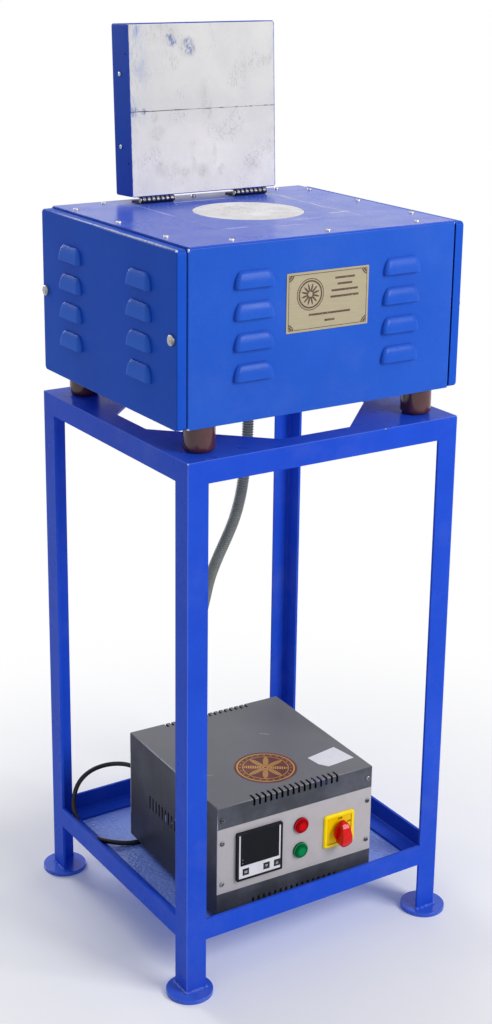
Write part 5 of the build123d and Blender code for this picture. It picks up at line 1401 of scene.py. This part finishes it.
@dataclass
class ControlBox:
    """Control box on the tray: cover, fascia, controller, lamps, switch, sticker and paper label."""

    origin: Vector = field(default_factory=lambda: mm(-198.2, -230.7, 118.0))
    turn: float = -2.0
    width: float = 332.0
    depth: float = 341.0
    height: float = 220.0
    meter: tuple[float, float] = (86.0, 112.5)
    meter_face: float = 5.0
    meter_half: float = 43.9
    window: tuple[float, float, float] = (12.7, 40.5, 31.2)
    key: float = 6.8
    keys: tuple[tuple[str, float, float], ...] = (
        ("key_mode", 56.8, 80.5), ("key_down", 100.5, 80.5), ("key_up", 123.0, 80.5),
    )
    lamps: tuple[tuple[str, float, float], ...] = (("lamp_red", 176.0, 139.5), ("lamp_green", 175.5, 88.5))
    switch: tuple[float, float] = (259.6, 108.5)
    field_face: float = 3.5
    field_size: float = 52.0
    sticker: tuple[float, float, float] = (154.0, 90.0, 59.0)
    paper: tuple[tuple[float, float], ...] = (
        (242.7, 83.6), (246.7, 51.9), (258.6, 36.2), (319.4, 42.9), (310.0, 96.8),
    )
    screws: tuple[tuple[float, float], ...] = (
        (10.0, 147.5), (10.0, 66.0), (323.0, 149.9), (323.0, 68.8), (10.0, 194.0), (323.0, 196.0),
    )

    def __post_init__(self) -> None:
        """Work out the box's own frame and its fascia's, both in millimetres."""
        self.frame = Matrix.Translation(self.origin) @ Matrix.Rotation(math.radians(self.turn), 4, "Z")
        self.frame = self.frame @ Matrix.Scale(MM, 4)
        axes = Matrix(((1, 0, 0, 0), (0, 0, -1, 0), (0, 1, 0, 0), (0, 0, 0, 1)))
        self.fascia = self.frame @ axes
        self.ahead = self.way(0, -1, 0)

    def way(self, x: float, y: float, z: float) -> Vector:
        """Direction of the box's frame in the row frame."""
        return (self.frame.to_3x3() @ Vector((x, y, z))).normalized()

    def streak(self, start: Point, end: Point, half: float) -> Wear:
        """Streak between two points of the box's frame."""
        return Wear(self.frame @ Vector(start), half * MM, self.frame @ Vector(end))

    def build(self, nodes: Nodes) -> None:
        """Dress the box and add its small pieces."""
        self._housing(nodes)
        self._controller(nodes)
        self._lamps(nodes)
        self._switch(nodes)
        self._sticker()
        self._label()

    def _housing(self, nodes: Nodes) -> None:
        """Cover, base, fascia, feet, relay and screws."""
        top = self.height
        # The first two streaks are scratches on the top; the last three are painted highlights along the
        # cover's front-left, top-left and top-front edges.
        corner = (0, 0, top)
        lines = (
            ((214, 216, top), (232, 200, top), 1.0), ((30, 120, top), (58, 112, top), 0.7),
            ((0, 0, 50), corner, 1.6), (corner, (0, self.depth, top), 2.4),
            (corner, (self.width, 0, top), 1.6),
        )
        grey = Enamel(
            "box_enamel", (66, 68, 77), (60, 62, 71), roughness=0.42, specular=0.2, peel=0.00012,
            peel_scale=900.0, dust=0.14, scratches=(self.streak(*line) for line in lines),
            # The box's top face is painted paler, as light from above.
            painted_top_light=(0.338, (118, 117, 120)),
        )
        pale = Moulding(
            "fascia_enamel", (181, 177, 181), (154, 151, 155), roughness=0.46, grain=0.00008,
            grain_scale=1100.0, dust=0.16,
        )
        rubber = Moulding("box_rubber", (26, 26, 28), (60, 60, 62), roughness=0.7, dust=0.3)
        dress(nodes, grey, "control_cover", "control_base")
        dress(nodes, pale, "control_fascia", "control_rear_panel")
        dress(nodes, rubber, "control_feet", "mains_gland")
        dress(nodes, Moulding("relay_plastic", (40, 42, 46), (80, 82, 86)), "power_relay")
        zinc = Metal("screw_dull_zinc", (150, 152, 158), (44, 46, 50), roughness=0.24, stained=0.8)
        seats = [
            (self.frame @ Vector((x, y, z)), self.way(0, side, 0))
            for x, z in self.screws for y, side in ((0.0, -1), (self.depth, 1))
        ]
        screw = ScrewShape(4.7 * MM, 2.2 * MM)
        add_screws("box_screw_heads", "control_screws", Body.ROOT, zinc, screw, seats, 3.1)

    def _controller(self, nodes: Nodes) -> None:
        """Temperature controller: black frame, pale face, dark window and keys with plain marks."""
        case = Moulding("meter_black", (14, 16, 24), (56, 60, 72), roughness=0.34, specular=0.15)
        glass = Moulding(
            "window_black", (18, 20, 24), (34, 36, 38), roughness=0.16, dust=0.12, grain=0.0, specular=0.12
        )
        black = Moulding("key_black", (28, 30, 34), (70, 72, 78), roughness=0.5, dust=0.25)
        dress(nodes, case, "meter_case")
        dress(nodes, glass, "meter_window")
        dress(nodes, black, *(name for name, _, _ in self.keys))
        place = self.fascia @ Matrix.Translation((*self.meter, 0.0))
        rise, half_w, half_h = self.window
        holes = [(0.0, rise, half_w, half_h)]
        holes += [(x - self.meter[0], z - self.meter[1], self.key, self.key) for _, x, z in self.keys]
        made = bmesh.new()
        add_plate(made, (self.meter_half, self.meter_half), holes, self.meter_face, self.meter_face + 0.35)
        pale = Moulding("meter_pale", (222, 220, 228), (196, 194, 204), dust=0.4).build()
        add_piece("meter_panel", mesh_from(made, place), Body.ROOT, pale)
        top = self.meter_face + 0.6
        marks = {
            "key_mode": [(-2.6, -2.0), (2.6, -2.0), (2.6, 2.0), (-2.6, 2.0)],
            "key_down": [(0.0, -2.8), (3.0, 2.2), (-3.0, 2.2)],
            "key_up": [(0.0, 2.8), (-3.0, -2.2), (3.0, -2.2)],
        }
        for name, x, z in self.keys:
            made = bmesh.new()
            add_frame(made, marks[name], 0.62, top - 0.05, top + 0.12, 0.03)
            mark = mesh_from(made, self.fascia @ Matrix.Translation((x, z, 0.0)))
            add_piece(f"{name}_mark", mark, Body(name), pale)
        made = bmesh.new()
        for spot in ((-36.5, -13.0), (-36.5, -6.0)):
            add_prism(made, round_outline(1.1, 16, spot), 5.9, 6.08)
        smoke = Moulding("indicator_smoke", (128, 130, 136), (150, 150, 156), roughness=0.3).build()
        add_piece("indicator_dots", mesh_from(made, place), Body.ROOT, smoke)

    def _lamps(self, nodes: Nodes) -> None:
        """Red and green pilot lamps in rings of their own colour, each ring painted black at its foot as
        shade against the fascia.
        """
        tones = {"lamp_red": ((206, 10, 24), (120, 2, 12)), "lamp_green": ((4, 136, 76), (0, 74, 42))}
        centres = {name: self.fascia @ Vector((x, z, 0.0)) for name, x, z in self.lamps}
        recipe = Recipe("lamp_ring_enamel")
        above, below = (
            centres["lamp_red"].lerp(centres["lamp_green"], share).z for share in (0.48, 0.52)
        )
        ring = recipe.mix(recipe.z.rise(below, above), tones["lamp_green"][0], tones["lamp_red"][0])
        # Painted shade: the foot of each ring, next to the fascia, is painted near black.
        foot = recipe.along(centres["lamp_red"], self.ahead).rise(0.0030, 0.0022)
        dust = recipe.noise(300.0, 3, shift=1.9) * 0.04
        tone = recipe.mix(foot, recipe.mix(dust, ring, (190, 190, 196)), (14, 15, 18))
        rings = recipe.surface(Base_Color=tone, Roughness=0.3, Specular_IOR_Level=0.04)
        dress(nodes, rings, "lamp_bezels")
        for name, centre in centres.items():
            dress(nodes, Lens(f"{name}_lens", *tones[name], centre, self.ahead), name)

    def _switch(self, nodes: Nodes) -> None:
        """Yellow switch plate with plain words and painted shade round its recessed field, and its red
        knob.
        """
        recipe = Recipe("switch_yellow")
        centre = self.fascia @ Vector((*self.switch, 0.0))
        across, up = (abs(recipe.along(centre, self.way(*axis))) for axis in ((1, 0, 0), (0, 0, 1)))
        edge = across.most(up) - self.field_size / 2 * MM
        worn = recipe.noise(45.0, 4, shift=4.2).rise(0.4, 0.72) * 0.3
        tone = recipe.mix(edge.rise(0.0002, -0.0002), (255, 226, 0), (248, 204, 0))
        tone = recipe.mix(worn, tone, (236, 190, 0))
        # Painted shade: a dark orange line along the edge of the recessed field.
        tone = recipe.mix(edge.band(0.0, 0.0005, 0.0004) * 0.7, tone, (176, 112, 0))
        yellow = recipe.surface(Base_Color=tone, Roughness=0.32, Specular_IOR_Level=0.15)
        red = Moulding(
            "knob_red", (214, 10, 10), (224, 34, 26), roughness=0.12, dust=0.2, specular=0.22, grain=0.00002
        )
        dress(nodes, yellow, "switch_plate")
        dress(nodes, Moulding("switch_body_plastic", (60, 62, 66), (96, 98, 102)), "switch_body")
        dress(nodes, red, "switch_knob")
        place = self.fascia @ Matrix.Translation((*self.switch, 0.0))
        ink = Moulding(
            "switch_ink", (24, 20, 12), (40, 36, 20), roughness=0.6, dust=0.2, specular=0.05
        ).build()
        made = bmesh.new()
        for word, x, z in (("OFF", 1.0, 21.0), ("ON", 21.4, 10.4)):
            self._add_word(made, word, x, z)
        add_piece("switch_words", mesh_from(made, place), Body.ROOT, ink)

    def _add_word(self, made: Shape, word: str, x: float, z: float) -> None:
        """Add a plain word to the switch plate."""
        curve = bpy.data.curves.new(word, "FONT")
        curve.body, curve.size, curve.align_x = word, 5.4, "CENTER"
        curve.extrude, curve.offset = 0.08, 0.12
        holder = linked(word, curve)
        mesh = evaluated(holder)
        mesh.transform(Matrix.Translation((x, z, self.field_face + 0.05)))
        made.from_mesh(mesh)
        bpy.data.objects.remove(holder)

    def _sticker(self) -> None:
        """Round sticker on the cover."""
        x, y, radius = self.sticker
        made = bmesh.new()
        add_prism(made, round_outline(radius, 96, (x, y)), self.height - 0.02, self.height + 0.3, 0.15)
        finish = Medallion("sticker_brown", self.frame @ Vector((x, y, self.height)), radius * MM).build()
        add_piece("round_sticker", mesh_from(made, self.frame), Body.ROOT, finish)

    def _label(self) -> None:
        """Bare paper label on the cover, one corner of it curling up."""
        made = bmesh.new()
        tips = [Vector(point) for point in self.paper]
        middle = sum(tips, Vector((0.0, 0.0))) / len(tips)
        edges = [
            first.lerp(second, step / 8)
            for first, second in zip(tips, tips[1:] + tips[:1]) for step in range(8)
        ]
        rings = []
        for share in (1.0, 0.93, 0.75, 0.4):
            curl = 1.6 * max(0.0, share - 0.7)
            lifts = (0.12 + curl * max(0.0, 1 - (edge - tips[1]).length / 30) for edge in edges)
            spots = (middle + (edge - middle) * share for edge in edges)
            rings.append([(*spot, self.height + lift) for spot, lift in zip(spots, lifts)])
        made.faces.new(loft(made, rings)[-1])
        low = bmesh.ops.duplicate(made, geom=made.verts[:] + made.edges[:] + made.faces[:])
        moved = [item for item in low["geom"] if isinstance(item, bmesh.types.BMVert)]
        bmesh.ops.translate(made, verts=moved, vec=(0, 0, -0.1))
        rims = [edge for edge in made.edges if edge.is_boundary]
        bmesh.ops.bridge_loops(made, edges=rims)
        white = Moulding(
            "paper_white", (242, 240, 242), (226, 222, 230), roughness=0.75, dust=0.35, grain=0.00004
        ).build()
        add_piece("paper_label", mesh_from(made, self.frame), Body.ROOT, white, sharp=60)


@dataclass
class Leads:
    """Ribbed conduit, mains lead with its coil, and their glands."""

    conduit_points: tuple[Point, ...] = (
        (31.5, 40.0, 1022.0), (31.5, 40.0, 965.0), (30.0, 40.5, 905.0), (26.0, 43.0, 850.0),
        (23.0, 51.0, 798.0), (17.5, 64.0, 749.0), (8.5, 82.0, 702.0), (2.5, 104.0, 656.0),
        (3.5, 129.0, 611.0), (11.5, 155.0, 567.0), (20.0, 182.0, 522.0), (28.5, 210.0, 476.0),
        (34.0, 235.0, 429.0), (36.0, 248.7, 377.8), (34.5, 246.8, 323.8), (30.5, 219.8, 277.0),
        (26.002, 172.320, 250.0), (24.131, 118.753, 250.0),
    )
    conduit_crest: float = 11.0 * MM
    conduit_groove: float = 8.6 * MM
    rib_pitch: float = 5.05 * MM
    cord_points: tuple[Point, ...] = (
        (-143.348, 136.609, 226.0), (-142.441, 162.593, 226.0), (-158.0, 191.0, 227.0),
        (-189.0, 209.0, 225.0), (-225.0, 213.0, 218.0), (-251.0, 213.0, 197.0), (-263.5, 209.0, 163.0),
        (-265.5, 192.5, 133.0), (-262.5, 165.0, 116.1), (-255.0, 132.0, 115.6), (-236.0, 106.0, 116.1),
        (-204.0, 89.0, 110.6), (-166.0, 83.0, 110.6), (-124.0, 85.0, 110.6), (-80.0, 95.0, 110.6),
        (-34.0, 108.5, 110.6), (11.0, 108.5, 110.6),
    )
    cord_radius: float = 4.5 * MM
    cord_length: float = 1.785
    coil_centre: Point = (20.0, 163.0, 110.6)
    coil_radius: float = 54.5
    coil_pitch: float = 9.8
    turns_in: float = 2.0
    turns_out: float = 2.125
    per_turn: int = 16
    plug_reach: float = 24.0
    plug_length: float = 94.0

    def build(self, nodes: Nodes) -> None:
        """Make the conduit and the mains lead, and dress their fittings."""
        self._conduit()
        zinc = Metal("gland_zinc", (170, 172, 176), (120, 120, 122), roughness=0.34)
        dress(nodes, zinc, "conduit_glands")
        self._lead(nodes)

    def _conduit(self) -> None:
        """Ribbed conduit from the furnace's underside to the box."""
        points = [mm(*point) for point in self.conduit_points]
        route = nurbs("conduit_route", points, 16)
        path = [tuple(vertex.co) for vertex in evaluated(route).vertices]
        length = sum((Vector(a) - Vector(b)).length for a, b in zip(path, path[1:]))
        grey = Moulding(
            "conduit_grey", (122, 127, 124), (156, 159, 154), roughness=0.36, dust=0.3, grain=0.00004
        ).build()
        values = {
            "Crest": self.conduit_crest, "Groove": self.conduit_groove, "Pitch": self.rib_pitch,
            "Step": self.rib_pitch / 6, "Material": grey,
        }
        mesh = ribbed_tube_graph().bake(route, values)
        piece = add_piece(
            "flexible_conduit", mesh, Body.ROOT, grey, ("conduit",), sharp=180
        )
        tuple(points[0])

    def _coil_spot(self, angle: float, radius: float, climb: float) -> Vector:
        """Point of the coil at an angle in radians, and a radius and a height in millimetres."""
        return mm(radius * math.cos(angle), radius * math.sin(angle), climb) + mm(*self.coil_centre)

    def _coil_points(self) -> list[Vector]:
        """Control points of the coil: two turns inwards on the tray, two outwards on top of them."""
        whole = self.turns_in + self.turns_out
        count = round(whole * self.per_turn)
        points = []
        for step in range(1, count + 1):
            turns = whole * step / count
            inward = min(turns, 2 * self.turns_in - turns)
            near = max(0.0, 1 - abs(turns - self.turns_in) / 0.25)
            radius = self.coil_radius - self.coil_pitch * (inward - 0.125 * near * near)
            share = min(1.0, max(0.0, (turns - self.turns_in + 0.25) / 0.5))
            climb = self.coil_pitch * share * share * (3 - 2 * share)
            radius /= math.cos(math.pi / self.per_turn) ** 0.5
            points.append(self._coil_spot(math.radians(-90) + 2 * math.pi * turns, radius, climb))
        return points

    def _lead(self, nodes: Nodes) -> None:
        """Mains lead: one spline from the box, along the tray, through the coil and to the plug."""
        angle = math.radians(-90 + 360 * (self.turns_in + self.turns_out))
        outward = Vector((-math.sin(angle), math.cos(angle), 0))
        radius = self.coil_radius + self.coil_pitch * (self.turns_out - self.turns_in)
        leaves = self._coil_spot(angle, radius, self.coil_pitch)
        points = [mm(*point) for point in self.cord_points] + self._coil_points()[:-1]
        points += [leaves + outward * (self.plug_reach * share * MM) for share in (0.5, 1.0)]
        lead = nurbs("mains_lead", points)
        lead.data.bevel_depth = self.cord_radius
        lead.data.bevel_resolution = 5
        lead.data.use_fill_caps = True
        black = Moulding("cord_black", (20, 20, 23), (58, 58, 62), roughness=0.38, dust=0.3, grain=0.00003)
        lead.data.materials.append(black.build())
        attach(lead, Body.ROOT.value)
        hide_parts("mains_cord", "mains_cord_coil")
        tuple(points[0])
        dress(nodes, self._plug_finish(leaves + outward * (self.plug_length * MM), outward), "mains_plug")

    @staticmethod
    def _plug_finish(end: Vector, outward: Vector) -> Material:
        """Black plug whose pins, past its end face, are brass."""
        recipe = Recipe("plug_black_and_brass")
        pins = recipe.along(end, outward).rise(-0.0003, 0.0003)
        scuff = recipe.noise(60.0, 4, shift=2.0).rise(0.45, 0.7)
        black = recipe.mix(scuff * 0.3, (24, 24, 27), (66, 66, 70))
        tone = recipe.mix(pins, black, (206, 178, 112))
        return recipe.surface(Base_Color=tone, Roughness=0.42 - pins * 0.16, Metallic=pins)


@dataclass
class Studio:
    """Floor, white surroundings, lamps and the camera at the photograph's angle."""

    eye: Point = (-1.6010, -2.4761, 1.8228)
    yaw: float = 32.5
    pitch: float = 16.7
    roll: float = 0.6
    lens: float = 58.92
    shift: tuple[float, float] = (0.0110, -0.0751)
    ambient: float = 0.36
    ambient_colour: tuple[float, ...] = (0.97, 0.98, 1.0, 1.0)
    white: tuple[float, ...] = (1.0, 1.0, 1.0, 1.0)
    floor_half: float = 9.0
    floor_tones: tuple[Colour, Colour] = ((250, 250, 252), (246, 247, 249))
    clear_from: float = 0.45
    clear_to: float = 1.35
    lamps: tuple[tuple[str, Point, Point, float, float], ...] = (
        ("key_lamp", (1.5, -3.0, 2.6), (0.0, 0.0, 0.8), 1.6, 92.0),
        ("fill_lamp", (-3.0, -1.4, 1.7), (0.0, 0.0, 0.7), 2.2, 5.0),
        ("top_lamp", (0.2, 0.4, 3.4), (0.0, 0.0, 1.0), 2.2, 15.0),
        ("back_lamp", (-0.5, 2.9, 2.0), (-0.2, 0.0, 0.1), 1.4, 40.0),
    )

    def build(self) -> None:
        """Set the stage, the lamps and the camera."""
        scene = bpy.context.scene
        scene.view_settings.view_transform = "Standard"
        self._world(scene)
        self._floor()
        for name, place, target, size, power in self.lamps:
            lamp = bpy.data.lights.new(name, "AREA")
            lamp.size, lamp.energy = size, power
            turn = (Vector(target) - Vector(place)).to_track_quat("-Z", "Y").to_matrix().to_4x4()
            linked(name, lamp).matrix_world = Matrix.Translation(place) @ turn
        scene.camera = self._camera()

    def _camera(self) -> bpy.types.Object:
        """Camera turned by its yaw, pitch and roll."""
        yaw, pitch, roll = (math.radians(angle) for angle in (self.yaw, self.pitch, self.roll))
        ahead = Vector((math.sin(yaw) * math.cos(pitch), math.cos(yaw) * math.cos(pitch), -math.sin(pitch)))
        right = Vector((math.cos(yaw), -math.sin(yaw), 0))
        up = right.cross(ahead)
        across = right * math.cos(roll) + up * math.sin(roll)
        above = up * math.cos(roll) - right * math.sin(roll)
        lens = bpy.data.cameras.new("camera")
        lens.lens, lens.clip_end = self.lens, 60.0
        lens.shift_x, lens.shift_y = self.shift
        holder = linked("camera", lens)
        turn = Matrix((across, above, -ahead)).transposed().to_4x4()
        holder.matrix_world = Matrix.Translation(self.eye) @ turn
        return holder

    def _seen(self, tree: NodeTree) -> Value:
        """1 for what the camera, a reflection or a clear piece sees directly."""
        rays = tree.node("ShaderNodeLightPath").outputs
        seen = Value(tree, rays["Is Camera Ray"]) + Value(tree, rays["Is Glossy Ray"])
        return (seen + Value(tree, rays["Is Transmission Ray"])).clamped()

    def _world(self, scene: bpy.types.Scene) -> None:
        """White surroundings that light the object more softly than they look."""
        scene.world = bpy.data.worlds.new("studio")
        scene.world.use_nodes = True
        tree = NodeTree(scene.world.node_tree)
        tree.tree.nodes.clear()
        lights, shows = (
            tree.node("ShaderNodeBackground", {}, {"Color": colour, "Strength": strength})
            for colour, strength in ((self.ambient_colour, self.ambient), (self.white, 1.0))
        )
        sockets = {0: self._seen(tree), 1: lights.outputs[0], 2: shows.outputs[0]}
        mixed = tree.node("ShaderNodeMixShader", {}, sockets)
        tree.node("ShaderNodeOutputWorld", {}, {"Surface": mixed.outputs[0]})

    def _floor(self) -> None:
        """Wide pale floor."""
        made = bmesh.new()
        bmesh.ops.create_grid(made, x_segments=1, y_segments=1, size=self.floor_half)
        mesh = bpy.data.meshes.new("floor")
        made.to_mesh(mesh)
        made.free()
        mesh.materials.append(self._floor_finish())
        floor = linked("floor", mesh)

    def _floor_finish(self) -> Material:
        """Pale matt floor that goes over into the white surroundings away from the object."""
        recipe = Recipe("studio_floor")
        tone = recipe.mix(recipe.noise(3.0, 3) * 0.3, *self.floor_tones)
        sockets = {"Base Color": tone, "Roughness": 0.9, "Specular IOR Level": 0.1}
        near = recipe.node("ShaderNodeBsdfPrincipled", {}, sockets)
        far = recipe.node("ShaderNodeEmission", {}, {"Color": self.white, "Strength": 1.0})
        apart = (recipe.x * recipe.x + recipe.y * recipe.y).root()
        share = apart.rise(self.clear_from, self.clear_to) * self._seen(recipe)
        mixed = recipe.node("ShaderNodeMixShader", {}, {0: share, 1: near.outputs[0], 2: far.outputs[0]})
        recipe.node("ShaderNodeOutputMaterial", {}, {"Surface": mixed.outputs[0]})
        return recipe.material


def main() -> None:
    """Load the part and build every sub-assembly round it."""
    logging.basicConfig(level=logging.INFO, format="%(name)s: %(message)s")
    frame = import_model()
    nodes = frame["nodes"]
    Studio().build()
    for assembly in (Leads(), Stand(), Casing(), Chamber(), Lid(), ControlBox()):
        assembly.build(nodes)
        LOG.info("%s built", type(assembly).__name__)


if __name__ == "__main__":
    main()
